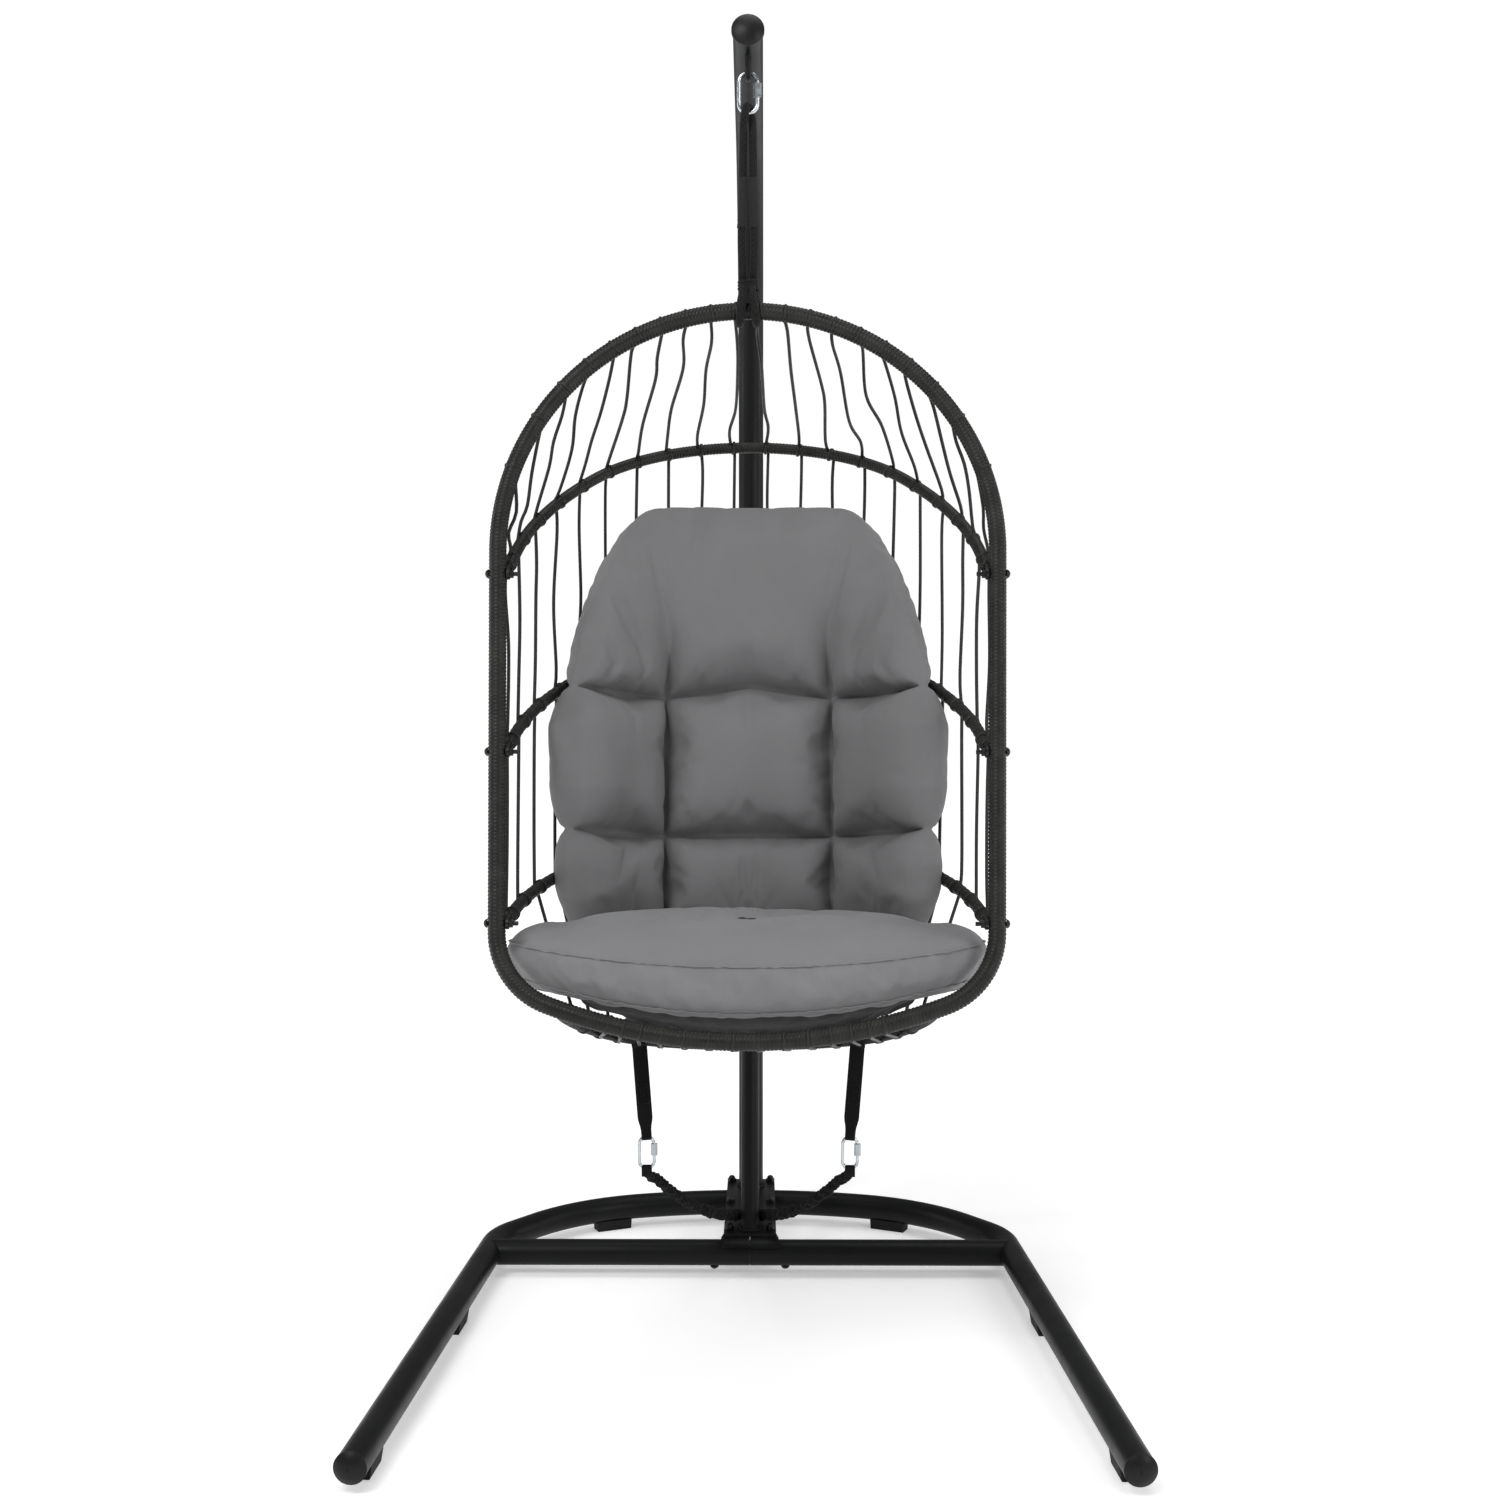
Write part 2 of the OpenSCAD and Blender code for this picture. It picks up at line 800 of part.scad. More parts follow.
// The wrap starts behind the tab, on the hoop's first bend
module wrap_behind_tab(k) {
    skip_turn = 0.8;
    turn = oval_turn(k);
    start = step_end([-hoops[k][3], straight_in], 90, [0, side_arc_r, -skip_turn]);
    steps = [
        [0, side_arc_r, skip_turn - turn],
        [0, oval_back_r(k), 2 * turn - 180],
        [0, side_arc_r, skip_turn - turn]
    ];
    at_hoop(k) pipe(steps, start, 90 - skip_turn, hoops[k][4], hoop_core_d + sleeve_clear);
}

seat_hoop_start = loop_d / 2 + 1.2;

module seat_hoop_core() {
    steps = hoop_path(3);
    len_in = steps[0][0] - seat_hoop_start;
    trimmed = [[len_in, 0, 0], steps[1], steps[2], steps[3], [len_in, 0, 0]];
    color("#2b2c2d")
        at_hoop(3) pipe(trimmed, [-hoops[3][3], seat_hoop_start], 90, hoop_core_d, 0);
}

module seat_hoop_wrap() {
    color("#34342f") wrap_behind_tab(3);
}

// Bolts along X, head outside the loop and nut inside the tab
module hoop_bolts() {
    color("#1b1c1d")
        both_sides()
            for (k = [0 : 2])
                translate(loop_point(side_x(hoops[k][0]), hoops[k][0])) {
                    translate([-2 * tab_offset, 0, 0])
                        rotate([0, 90, 0]) cylinder(d = hoop_bolt_d, h = 2 * tab_offset + loop_d / 2 + 1);
                    translate([loop_d / 2 + 0.6, 0, 0]) rotate([0, 90, 0]) dome_head(13, 5);
                }
}

module hoop_nuts() {
    nut_h = 5;
    color("#1b1c1d")
        both_sides()
            for (k = [0 : 2])
                translate(loop_point(hoops[k][3] - tab_t / 2 - nut_h - 0.2, hoops[k][0]))
                    rotate([0, 90, 0])
                        difference() {
                            cylinder(d = 11.5, h = nut_h, $fn = 6);
                            translate([0, 0, -1])
                                cylinder(d = hoop_bolt_d + sleeve_clear, h = nut_h + 2);
                        }
}

// The outer strands meet the tube at a flatter angle, so they stop further from it
function graze_trim(i) = 0.45 * i * i;

// Strands between two hoops
module strands_between(k, m, count) {
    color("#2f2f2c")
        both_sides()
            for (i = [0 : count - 1])
                rod_between(hoop_point(k, strand_x(k, i)), hoop_point(m, strand_x(m, i)), strand_d,
                    hoops[k][4] / 2 + strand_trim + 2, hoops[m][4] / 2 + strand_trim + 2);
}

module strands_top() {
    arch_pitch = 34.5;
    color("#2f2f2c")
        both_sides()
            for (i = [0 : strands_a_side - 1])
                rod_between(arch_point((i + 0.5) * arch_pitch), hoop_point(0, strand_x(0, i)), strand_d,
                    loop_d / 2 + strand_trim + graze_trim(i), hoop_d / 2 + strand_trim);
}

module strands_upper() {
    strands_between(0, 1, strands_a_side);
}

module strands_middle() {
    strands_between(1, 2, strands_a_side);
}

module strands_lower() {
    strands_between(2, 3, seat_strands);
}

module strands_seat() {
    color("#2f2f2c")
        both_sides()
            for (i = [0 : seat_strands - 2]) {
                x = strand_x(3, i);
                front_x = 0.86 * x;
                rod_between(hoop_point(3, x), loop_point(front_x, bottom_s(front_x)), strand_d,
                    seat_hoop_d / 2 + strand_trim + graze_trim(i), loop_d / 2 + strand_trim + 1);
            }
}

// Curved pad inside the hoops, cut to a rounded outline
module back_cushion() {
    inner_r = back_outer_r - back_thick;
    color("#6d6d6e")
        translate([0, back_axis_y, back_axis_z])
            rotate([-back_lean, 0, 0])
                intersection() {
                    rotate([0, 0, 90 - back_half_turn])
                        rotate_extrude(angle = 2 * back_half_turn)
                            polygon([
                                [inner_r, 0], [back_outer_r - 75, 0], [back_outer_r, 150],
                                [back_outer_r, back_h - 30], [back_outer_r - 25, back_h],
                                [inner_r + 25, back_h], [inner_r, back_h - 30]
                            ]);
                    rotate([90, 0, 0])
                        linear_extrude(2.4 * back_outer_r, center = true)
                            polygon([
                                [-234, -1], [234, -1], [264, 60], [268, 260], [262, 370],
                                [246, 460], [218, 550], [180, 615], [115, back_h + 1],
                                [-115, back_h + 1], [-180, 615], [-218, 550], [-246, 460],
                                [-262, 370], [-268, 260], [-264, 60]
                            ]);
                }
}

// Half oval slab with its straight side to the front
module half_oval(half_w, depth, t) {
    linear_extrude(t)
        intersection() {
            scale([half_w, depth]) circle(r = 1, $fn = 48);
            translate([-half_w, 0]) square([2 * half_w, depth]);
        }
}

module seat_cushion() {
    color("#808182")
        translate([0, seat_front_y, seat_front_z])
            rotate([-seat_fall, 0, 0])
                hull() {
                    half_oval(60, 200, 1);
                    translate([0, 0, 18]) half_oval(205, 265, 1);
                    translate([0, 0, 68]) half_oval(272, 335, seat_thick - 68);
                    translate([0, 0, 93]) half_oval(304, 150, seat_thick - 93);
                    translate([0, 35, seat_thick]) half_oval(150, 170, seat_crown);
                }
}

// Safety strap

module strap_webbing_right() {
    top = hoop_point(3, strap_x)[2] - seat_hoop_d / 2 - 3;
    bottom = strap_link_z + strap_link_h / 2 + 1;
    top_y = hoop_point(3, strap_x)[1];
    color("#141415")
        flat_strip([strap_x, top_y, top], [strap_link_x, strap_link_y, bottom]);
}

// Flat strip between two points, wide along X
module flat_strip(p, q) {
    run = p - q;
    translate(q)
        rotate([-atan2(run[1], run[2]), 0, 0])
            rotate([0, asin(run[0] / norm(run)), 0])
                translate([-strap_w / 2, -strap_t / 2, 0]) cube([strap_w, strap_t, norm(run)]);
}

module strap_webbing_left() {
    mirror([1, 0, 0]) strap_webbing_right();
}

module strap_link_right() {
    color("#c8cdd0")
        translate([strap_link_x, strap_link_y, strap_link_z])
            quick_link(strap_link_w, strap_link_h, strap_link_rod_d);
}

module strap_link_left() {
    color("#c8cdd0")
        translate([-strap_link_x, strap_link_y, strap_link_z])
            quick_link(strap_link_w, strap_link_h, strap_link_rod_d);
}

module strap_sleeve_right() {
    color("#b4babd")
        translate([strap_link_x, strap_link_y, strap_link_z])
            link_sleeve(strap_link_w, strap_link_h, strap_link_rod_d, 10);
}

module strap_sleeve_left() {
    color("#b4babd")
        translate([-strap_link_x, strap_link_y, strap_link_z])
            link_sleeve(strap_link_w, strap_link_h, strap_link_rod_d, 10);
}

// Tube swept along points
function unit(v) = v / norm(v);
function route_dir(route, i) = unit(route[min(i + 1, len(route) - 1)] - route[max(i - 1, 0)]);
function ring_point(route, i, angle, r) =
    let (along = route_dir(route, i), side = unit(cross(along, [0, 0, 1])), up = cross(side, along))
    route[i] + r * (cos(angle) * side + sin(angle) * up);

module route_tube(route, d, sides) {
    rings = len(route);
    points = [
        for (i = [0 : rings - 1], j = [0 : sides - 1])
        ring_point(route, i, 360 * j / sides, d / 2) + [0, crossbar_y, 0]
    ];
    walls = [
        for (i = [0 : rings - 2], j = [0 : sides - 1])
        let (a = i * sides + j, b = i * sides + (j + 1) % sides)
        each [[a, b, a + sides], [b, b + sides, a + sides]]
    ];
    first = [for (j = [sides - 1 : -1 : 0]) j];
    last = [for (j = [0 : sides - 1]) (rings - 1) * sides + j];
    polyhedron(points = points, faces = concat(walls, [first, last]));
}

module strap_tail_right() {
    color("#141415") route_tube(tail_route, elastic_d - 4, 8);
}

module strap_tail_left() {
    mirror([1, 0, 0]) strap_tail_right();
}

module strap_elastic() {
    color("#141415") route_tube(middle_route, elastic_d, 8);
}

base_bend_left();
base_bend_right();
crossbar_left();
crossbar_right();
crossbar_sleeve();
crossbar_screws();
gusset_left();
gusset_right();
leg_left();
leg_right();
leg_spigots();
leg_caps();
foot_pads();
mount_plate();
plate_bolts();
plate_nuts();
pole_lower();
pole_upper();
pole_sleeve();
pole_screws();
brace_tube();
arm_cap();
hanger_eye();
top_link();
top_link_sleeve();
sling_ropes();
rope_sleeves();
loop_core();
loop_wrap();
upper_hoop_core();
upper_hoop_wrap();
middle_hoop_core();
middle_hoop_wrap();
lower_hoop_core();
lower_hoop_wrap();
seat_hoop_core();
seat_hoop_wrap();
hoop_bolts();
hoop_nuts();
strands_top();
strands_upper();
strands_middle();
strands_lower();
strands_seat();
back_cushion();
seat_cushion();
strap_webbing_left();
strap_webbing_right();
strap_link_left();
strap_link_right();
strap_sleeve_left();
strap_sleeve_right();
strap_tail_left();
strap_tail_right();
strap_elastic();
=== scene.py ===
"""Looks of the hanging egg chair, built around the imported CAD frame. Metres, +Z up, +Y to the back."""

import json
import math

import bpy
import numpy as np
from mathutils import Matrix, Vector


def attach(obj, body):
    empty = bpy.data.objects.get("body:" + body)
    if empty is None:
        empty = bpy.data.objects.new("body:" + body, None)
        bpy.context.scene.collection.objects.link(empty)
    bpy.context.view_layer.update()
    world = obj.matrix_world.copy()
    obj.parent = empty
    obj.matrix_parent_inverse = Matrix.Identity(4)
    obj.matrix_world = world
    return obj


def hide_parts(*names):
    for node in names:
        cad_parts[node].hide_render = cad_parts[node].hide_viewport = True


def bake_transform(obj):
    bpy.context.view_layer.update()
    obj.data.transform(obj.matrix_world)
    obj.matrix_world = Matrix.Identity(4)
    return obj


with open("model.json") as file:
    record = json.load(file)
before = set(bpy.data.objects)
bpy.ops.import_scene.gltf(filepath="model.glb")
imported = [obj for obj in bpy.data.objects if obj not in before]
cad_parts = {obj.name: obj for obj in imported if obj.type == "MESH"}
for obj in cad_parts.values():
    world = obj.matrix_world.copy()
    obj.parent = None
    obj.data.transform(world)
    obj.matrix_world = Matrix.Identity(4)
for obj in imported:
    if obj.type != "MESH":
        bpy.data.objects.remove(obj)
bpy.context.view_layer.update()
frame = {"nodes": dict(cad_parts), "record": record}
scene = bpy.context.scene

# ---------------------------------------------------------------- sizes, as in the CAD

EYE_Y = -0.07698
ROD_Z = 1.79036  # centre of the top link's lower bar
LOOP_TOP_Z = 1.515
LOOP_TILT = math.radians(16)
LOOP_R = 0.012
ARCH_R = 0.347
SIDE_LEAN = math.radians(1.2)
SIDE_LEN = 0.530
CORNER_R = 0.106
BOTTOM_TURN = math.radians(20.7)
STRAIGHT_IN = 0.014
SIDE_ARC_R = 0.700
TAB_OFFSET = 0.0146
STRAND_R = 0.0025
STRANDS_A_SIDE = 10
STRANDS_TO_SEAT_HOOP = 8  # a side; the others end at the lower hoop
STRANDS_UNDER_SEAT = 7
ARCH_PITCH = 0.0345
CROSSBAR_Y = 0.273
POLE_Y = 0.556
TUBE_R = 0.021
PLATE_TOP_Z = 0.0652

SIDE_HEADING = math.pi / 2 - SIDE_LEAN
BOTTOM_R = (
    ARCH_R * math.sin(SIDE_HEADING)
    - SIDE_LEN * math.cos(SIDE_HEADING)
    - CORNER_R * (math.sin(SIDE_HEADING) - math.sin(BOTTOM_TURN))
) / math.sin(BOTTOM_TURN)
SIDE_TOP_S = ARCH_R * (1 + math.sin(SIDE_LEAN))
LOOP_LEN = (
    SIDE_TOP_S
    + SIDE_LEN * math.cos(SIDE_LEAN)
    + CORNER_R * (math.cos(BOTTOM_TURN) - math.sin(SIDE_LEAN))
    + BOTTOM_R * (1 - math.cos(BOTTOM_TURN))
)


def loop_point(x, s):
    """The point of the loop's plane at x to the right and s down from the loop's top."""
    return np.array([x, EYE_Y - s * math.sin(LOOP_TILT), LOOP_TOP_Z - s * math.cos(LOOP_TILT)])


def arch_s(x):
    return ARCH_R - math.sqrt(ARCH_R**2 - x * x)


def side_x(s):
    return ARCH_R * math.cos(SIDE_LEAN) - (s - SIDE_TOP_S) * math.tan(SIDE_LEAN)


def bottom_s(x):
    return LOOP_LEN - BOTTOM_R + math.sqrt(BOTTOM_R**2 - x * x)


class Hoop:
    """A hoop behind the loop: where it starts, its rise to the back, depth, half width and radius."""

    def __init__(self, start_s, rise, depth, half, radius):
        self.start_s, self.rise, self.half, self.radius = start_s, math.radians(rise), half, radius
        self.depth = depth - STRAIGHT_IN
        self.turn = math.pi / 2 - 2 * math.atan((SIDE_ARC_R - self.depth) / (SIDE_ARC_R - half))
        self.back_r = SIDE_ARC_R - (SIDE_ARC_R - half) / math.cos(self.turn)
        self.centre = self.depth - self.back_r

    def place(self, x, y):
        """Where a point of the hoop's own plane is, with x to the right and y to the back."""
        base = loop_point(0, self.start_s)
        return base + np.array([x, y * math.cos(self.rise), y * math.sin(self.rise)])

    def point(self, x):
        if abs(x) <= self.back_r * math.cos(self.turn):
            y = self.centre + math.sqrt(self.back_r**2 - x * x)
        else:
            y = math.sqrt(SIDE_ARC_R**2 - (abs(x) + SIDE_ARC_R - self.half) ** 2)
        return self.place(x, y + STRAIGHT_IN)

    def tangent(self, x):
        """Along the hoop, towards +X."""
        step = 0.0005
        return unit(self.point(x + step) - self.point(x - step))

    def strand_x(self, i):
        return self.half * math.sin(math.radians((i + 0.5) * 90 / STRANDS_A_SIDE))


SEAT_HOOP_X = 0.250
HOOPS = [
    Hoop(0.386, 23, 0.504, side_x(0.386) - TAB_OFFSET, 0.0085),
    Hoop(0.637, 15, 0.475, side_x(0.637) - TAB_OFFSET, 0.0085),
    Hoop(0.872, 6, 0.455, side_x(0.872) - TAB_OFFSET, 0.0085),
    Hoop(bottom_s(SEAT_HOOP_X), -19, 0.405, SEAT_HOOP_X, 0.0095),
]

# ---------------------------------------------------------------- small vector tools


def unit(v):
    v = np.asarray(v, float)
    return v / np.linalg.norm(v, axis=-1, keepdims=True)


def smooth(t):
    t = np.clip(t, 0, 1)
    return t * t * (3 - 2 * t)


def full_turn(n):
    """n angles evenly round a circle."""
    return np.arange(n) * 2 * math.pi / n


def run_along(path):
    """The distance of each point of a path from its start."""
    return np.concatenate([[0], np.cumsum(np.linalg.norm(np.diff(path, axis=0), axis=1))])


def walk(steps, heading, spacing):
    """Points along straight lengths and arcs in a plane. A step is (length, radius, turn)."""
    here, points = np.zeros(2), [np.zeros(2)]
    for length, radius, turn in steps:
        run = length if radius == 0 else radius * abs(turn)
        n = max(2, round(run / spacing))
        if radius == 0:
            ahead = np.array([math.cos(heading), math.sin(heading)])
            points += [here + ahead * run * (k + 1) / n for k in range(n)]
        else:
            left = math.copysign(1, turn) * radius
            middle = here + left * np.array([-math.sin(heading), math.cos(heading)])
            for k in range(n):
                h = heading + turn * (k + 1) / n
                points.append(middle + left * np.array([math.sin(h), -math.cos(h)]))
            heading += turn
        here = points[-1]
    return np.array(points)


def resample(path, n, closed=False):
    """n points evenly spaced along a path."""
    path = np.asarray(path, float)
    if closed:
        path = np.vstack([path, path[:1]])
    gaps = np.linalg.norm(np.diff(path, axis=0), axis=1)
    path = path[np.concatenate([[True], gaps > 1e-9])]
    at = run_along(path)
    want = np.linspace(0, at[-1], n + 1)[:-1] if closed else np.linspace(0, at[-1], n)
    return np.stack([np.interp(want, at, path[:, k]) for k in range(path.shape[1])], 1), at[-1]


def spline(knots, spacing):
    """A smooth curve through the knots, with points about a spacing apart."""
    p = np.asarray(knots, float)
    p = np.vstack([2 * p[0] - p[1], p, 2 * p[-1] - p[-2]])
    out = []
    for a, b, c, d in zip(p[:-3], p[1:-2], p[2:-1], p[3:], strict=True):
        n = max(3, round(np.linalg.norm(c - b) / spacing))
        t = (np.arange(n) / n)[:, None]
        out.append(
            0.5 * (2 * b + (c - a) * t + (2 * a - 5 * b + 4 * c - d) * t**2 + (3 * b - a - 3 * c + d) * t**3)
        )
    return np.vstack([*out, p[-2][None]])


def directions(path, closed=False, up=None):
    """For each point: the direction along the path and two across it."""
    along = np.roll(path, -1, 0) - np.roll(path, 1, 0)
    if not closed:
        along[0], along[-1] = path[1] - path[0], path[-1] - path[-2]
    along = unit(along)
    if up is not None:
        side = unit(np.cross(along, np.asarray(up, float)))
        return along, side, np.cross(side, along)
    side = np.empty_like(path)
    side[0] = unit(np.cross(along[0], [0.31, 0.52, 0.79]))
    for i in range(1, len(path)):
        carried = side[i - 1] - along[i] * (side[i - 1] @ along[i])
        side[i] = carried / np.linalg.norm(carried)
    return along, side, np.cross(side, along)


# ---------------------------------------------------------------- meshes


def mesh_piece(name, verts, faces, materials, body=None, grain=None, face_material=None):
    """A mesh object with smooth faces. grain gives each vertex its place along and across the material."""
    mesh = bpy.data.meshes.new(name)
    mesh.from_pydata([tuple(v) for v in verts], [], [tuple(f) for f in faces])
    mesh.polygons.foreach_set("use_smooth", np.ones(len(mesh.polygons), bool))
    for mat in materials:
        mesh.materials.append(mat)
    if face_material is not None:
        mesh.polygons.foreach_set("material_index", np.asarray(face_material, np.int32))
    if grain is not None:
        layer = mesh.attributes.new("grain", "FLOAT_VECTOR", "POINT")
        layer.data.foreach_set("vector", np.asarray(grain, np.float32).ravel())
    mesh.update()
    obj = bpy.data.objects.new(name, mesh)
    scene.collection.objects.link(obj)
    if body:
        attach(obj, body)
    return obj


class Shape:
    """Vertices, faces and grain of one or more swept lengths, gathered into one mesh."""

    def __init__(self):
        self.verts, self.faces, self.grain, self.parts = [], [], [], []
        self.count = 0

    def add(self, verts, faces, grain, part=0):
        self.verts.append(verts)
        self.grain.append(grain)
        self.faces += [tuple(int(i) + self.count for i in f) for f in faces]
        self.parts += [part] * len(faces)
        self.count += len(verts)

    def piece(self, name, materials, body=None):
        return mesh_piece(
            name, np.vstack(self.verts), self.faces, materials, body, np.vstack(self.grain), self.parts
        )

    def sweep(self, path, radius, sides, closed=False, up=None, part=0):
        """A tube along a path. radius is a number, one per point, or one per point and side."""
        path = np.asarray(path, float)
        n = len(path)
        _, side, over = directions(path, closed, up)
        angle = full_turn(sides)
        if np.ndim(radius) == 1:
            radius = np.asarray(radius, float)[:, None]
        radii = np.broadcast_to(radius, (n, sides))
        ring = np.cos(angle)[None, :, None] * side[:, None] + np.sin(angle)[None, :, None] * over[:, None]
        verts = path[:, None] + radii[..., None] * ring
        self.add(*grid_faces(verts, closed, True, True), tube_grain(path, radii, closed), part)

    def strip(self, path, widths, thickness, up, part=0):
        """A flat band with rounded edges. up is a direction across its width, or one per point."""
        path = np.asarray(path, float)
        along, _, _ = directions(path)
        across = np.broadcast_to(np.asarray(up, float), path.shape)
        across = unit(across - along * np.sum(across * along, 1, keepdims=True))
        face = np.cross(along, across)
        half = np.broadcast_to(np.asarray(widths, float), (len(path),)) / 2
        places = np.array([-1, -0.96, -0.5, 0, 0.5, 0.96, 1, 0.96, 0.5, 0, -0.5, -0.96])
        levels = np.array([0, 0.75, 1, 1, 1, 0.75, 0, -0.75, -1, -1, -1, -0.75]) * thickness / 2
        verts = (
            path[:, None]
            + (half[:, None] * places)[..., None] * across[:, None]
            + levels[None, :, None] * face[:, None]
        )
        grain = np.zeros((len(path), len(places), 3))
        grain[..., 0] = run_along(path)[:, None]
        grain[..., 1] = half[:, None] * places
        self.add(*grid_faces(verts, False, True, True), grain.reshape(-1, 3), part)


def grid_faces(verts, close_rows, close_columns, caps=False):
    """Vertices in rows and columns as a flat list, with the faces between them."""
    rows, columns = verts.shape[:2]
    index = np.arange(rows * columns).reshape(rows, columns)
    below = np.roll(index, -1, 0) if close_rows else index[1:]
    here = index if close_rows else index[:-1]
    own = slice(None) if close_columns else slice(-1)
    beside = [np.roll(a, -1, 1)[:, own] for a in (here, below)]
    faces = np.stack([here[:, own], *beside, below[:, own]], -1).reshape(-1, 4).tolist()
    if caps and not close_rows:
        faces += [index[0, ::-1].tolist(), index[-1].tolist()]
    return verts.reshape(-1, 3), faces


def tube_grain(path, radii, closed):
    """Distance along the tube, and distance round it, for each vertex."""
    rows, sides = radii.shape
    run = run_along(path)
    if closed:  # there and back, so that the ends meet
        run = np.minimum(run, run[-1] - run)
    around = np.abs(np.arange(sides) / sides - 0.5) * 2 * math.pi * float(np.mean(radii))
    grain = np.zeros((rows, sides, 3))
    grain[..., 0], grain[..., 1] = run[:, None], around[None]
    return grain.reshape(-1, 3)


# ---------------------------------------------------------------- materials


class Finish:
    """A Principled material with procedural colour, roughness and bump."""

    def __init__(self, name, color, roughness, metallic=0.0, **sockets):
        self.mat = bpy.data.materials.new(name)
        self.mat.use_nodes = True
        self.tree = self.mat.node_tree
        self.shader = self.tree.nodes["Principled BSDF"]
        self.set("Base Color", (*color, 1))
        self.set("Roughness", roughness)
        self.set("Metallic", metallic)
        for socket, value in sockets.items():
            self.set(socket.replace("_", " "), value)
        self.color, self.height = color, None
        self.place = self.node("ShaderNodeTexCoord").outputs["Object"]

    def set(self, socket, value):
        self.shader.inputs[socket].default_value = value

    def node(self, kind, _fill=(), **settings):
        made = self.tree.nodes.new(kind)
        for key, value in settings.items():
            setattr(made, key, value)
        for key, value in dict(_fill).items():
            if isinstance(value, bpy.types.NodeSocket):
                self.tree.links.new(value, made.inputs[key])
            else:
                made.inputs[key].default_value = value
        return made

    def math(self, operation, a, b=0.0):
        return self.node("ShaderNodeMath", {0: a, 1: b}, operation=operation).outputs[0]

    def noise(self, scale, detail=2.0, stretch=None):
        place = self.place
        if stretch:
            place = self.node("ShaderNodeMapping", {"Vector": place, "Scale": stretch}).outputs[0]
        fill = {"Vector": place, "Scale": scale, "Detail": detail}
        return self.node("ShaderNodeTexNoise", fill).outputs["Fac"]

    def ramp(self, value, low, high, to_low, to_high):
        return self.node(
            "ShaderNodeMapRange",
            {"Value": value, "From Min": low, "From Max": high, "To Min": to_low, "To Max": to_high},
        ).outputs[0]

    def tint(self, value, other):
        """Mixes the colour towards another where value is 1."""
        mix = self.node("ShaderNodeMix", {"Factor": value}, data_type="RGBA")
        source = self.shader.inputs["Base Color"]
        if source.is_linked:
            self.tree.links.new(source.links[0].from_socket, mix.inputs["A"])
        else:
            mix.inputs["A"].default_value = (*self.color, 1)
        mix.inputs["B"].default_value = (*other, 1)
        self.tree.links.new(mix.outputs["Result"], source)
        return self

    def roughen(self, value, low, high):
        self.tree.links.new(self.ramp(value, 0.3, 0.7, low, high), self.shader.inputs["Roughness"])
        return self

    def bump(self, value, millimetres):
        fill = {"Height": value, "Distance": millimetres / 1000}
        if self.height is not None:
            fill["Normal"] = self.height
        self.height = self.node("ShaderNodeBump", fill).outputs[0]
        self.tree.links.new(self.height, self.shader.inputs["Normal"])
        return self

    def grain(self):
        """Place along and across the material, in metres, as the mesh carries it."""
        seen = self.node("ShaderNodeAttribute", attribute_name="grain").outputs["Vector"]
        split = self.node("ShaderNodeSeparateXYZ", {0: seen})
        return split.outputs[0], split.outputs[1]

    def half_wave(self, angle):
        """A sine wave from 0 to 1."""
        fill = {0: self.math("SINE", angle), 1: 0.5, 2: 0.5}
        return self.node("ShaderNodeMath", fill, operation="MULTIPLY_ADD").outputs[0]


def powder_coat():
    m = Finish("stand_paint", (0.0054, 0.0057, 0.0062), 0.38, Specular_IOR_Level=0.12)
    m.roughen(m.noise(14, 3), 0.34, 0.46)
    m.tint(m.ramp(m.noise(5.5, 2), 0.35, 0.75, 0.0, 0.55), (0.0088, 0.0093, 0.0099))
    m.bump(m.noise(1100, 2), 0.035)
    m.bump(m.noise(190, 1), 0.03)
    dust = m.ramp(m.noise(420, 3), 0.70, 0.78, 0.0, 0.06)
    return m.tint(dust, (0.06, 0.06, 0.06)).mat


def black_hardware():
    m = Finish("black_hardware", (0.0075, 0.0075, 0.0078), 0.32, metallic=0.3, Specular_IOR_Level=0.35)
    m.roughen(m.noise(160, 3), 0.26, 0.46)
    return m.bump(m.noise(900, 2), 0.02).mat


def bare_steel():
    m = Finish("bare_steel", (0.055, 0.056, 0.058), 0.40, metallic=0.9)
    m.roughen(m.noise(90, 3, (1, 1, 8)), 0.24, 0.44)
    return m.bump(m.noise(800, 2), 0.01).mat


def moulded_plastic():
    m = Finish("black_plastic", (0.0070, 0.0072, 0.0075), 0.38, Specular_IOR_Level=0.18)
    m.roughen(m.noise(60, 2), 0.34, 0.48)
    return m.bump(m.noise(1500, 2), 0.03).mat


def rubber():
    m = Finish("rubber", (0.0060, 0.0060, 0.0060), 0.72, Specular_IOR_Level=0.2)
    m.roughen(m.noise(70, 3), 0.62, 0.82)
    m.tint(m.ramp(m.noise(35, 3), 0.5, 0.75, 0.0, 0.5), (0.011, 0.011, 0.0105))
    return m.bump(m.noise(700, 3), 0.06).mat


def zinc(name, color, low, high):
    m = Finish(name, color, 0.22, metallic=1.0)
    m.roughen(m.noise(120, 3), low, high)
    m.tint(m.ramp(m.noise(260, 2), 0.55, 0.75, 0.0, 0.35), tuple(0.7 * c for c in color))
    return m.bump(m.noise(600, 2), 0.015).mat


def wicker(name, color, light, pitch_mm):
    """Resin wicker: fine grooves along each turn, a satin skin and slight changes of shade."""
    m = Finish(name, color, 0.40, Specular_IOR_Level=0.22)
    along, _ = m.grain()
    m.roughen(m.noise(60, 2), 0.34, 0.50)
    m.tint(m.ramp(m.noise(38, 2), 0.40, 0.72, 0.0, 0.7), light)
    m.bump(m.half_wave(m.math("MULTIPLY", along, 2 * math.pi / (pitch_mm / 1000))), 0.05)
    return m.bump(m.noise(1300, 2), 0.03).mat


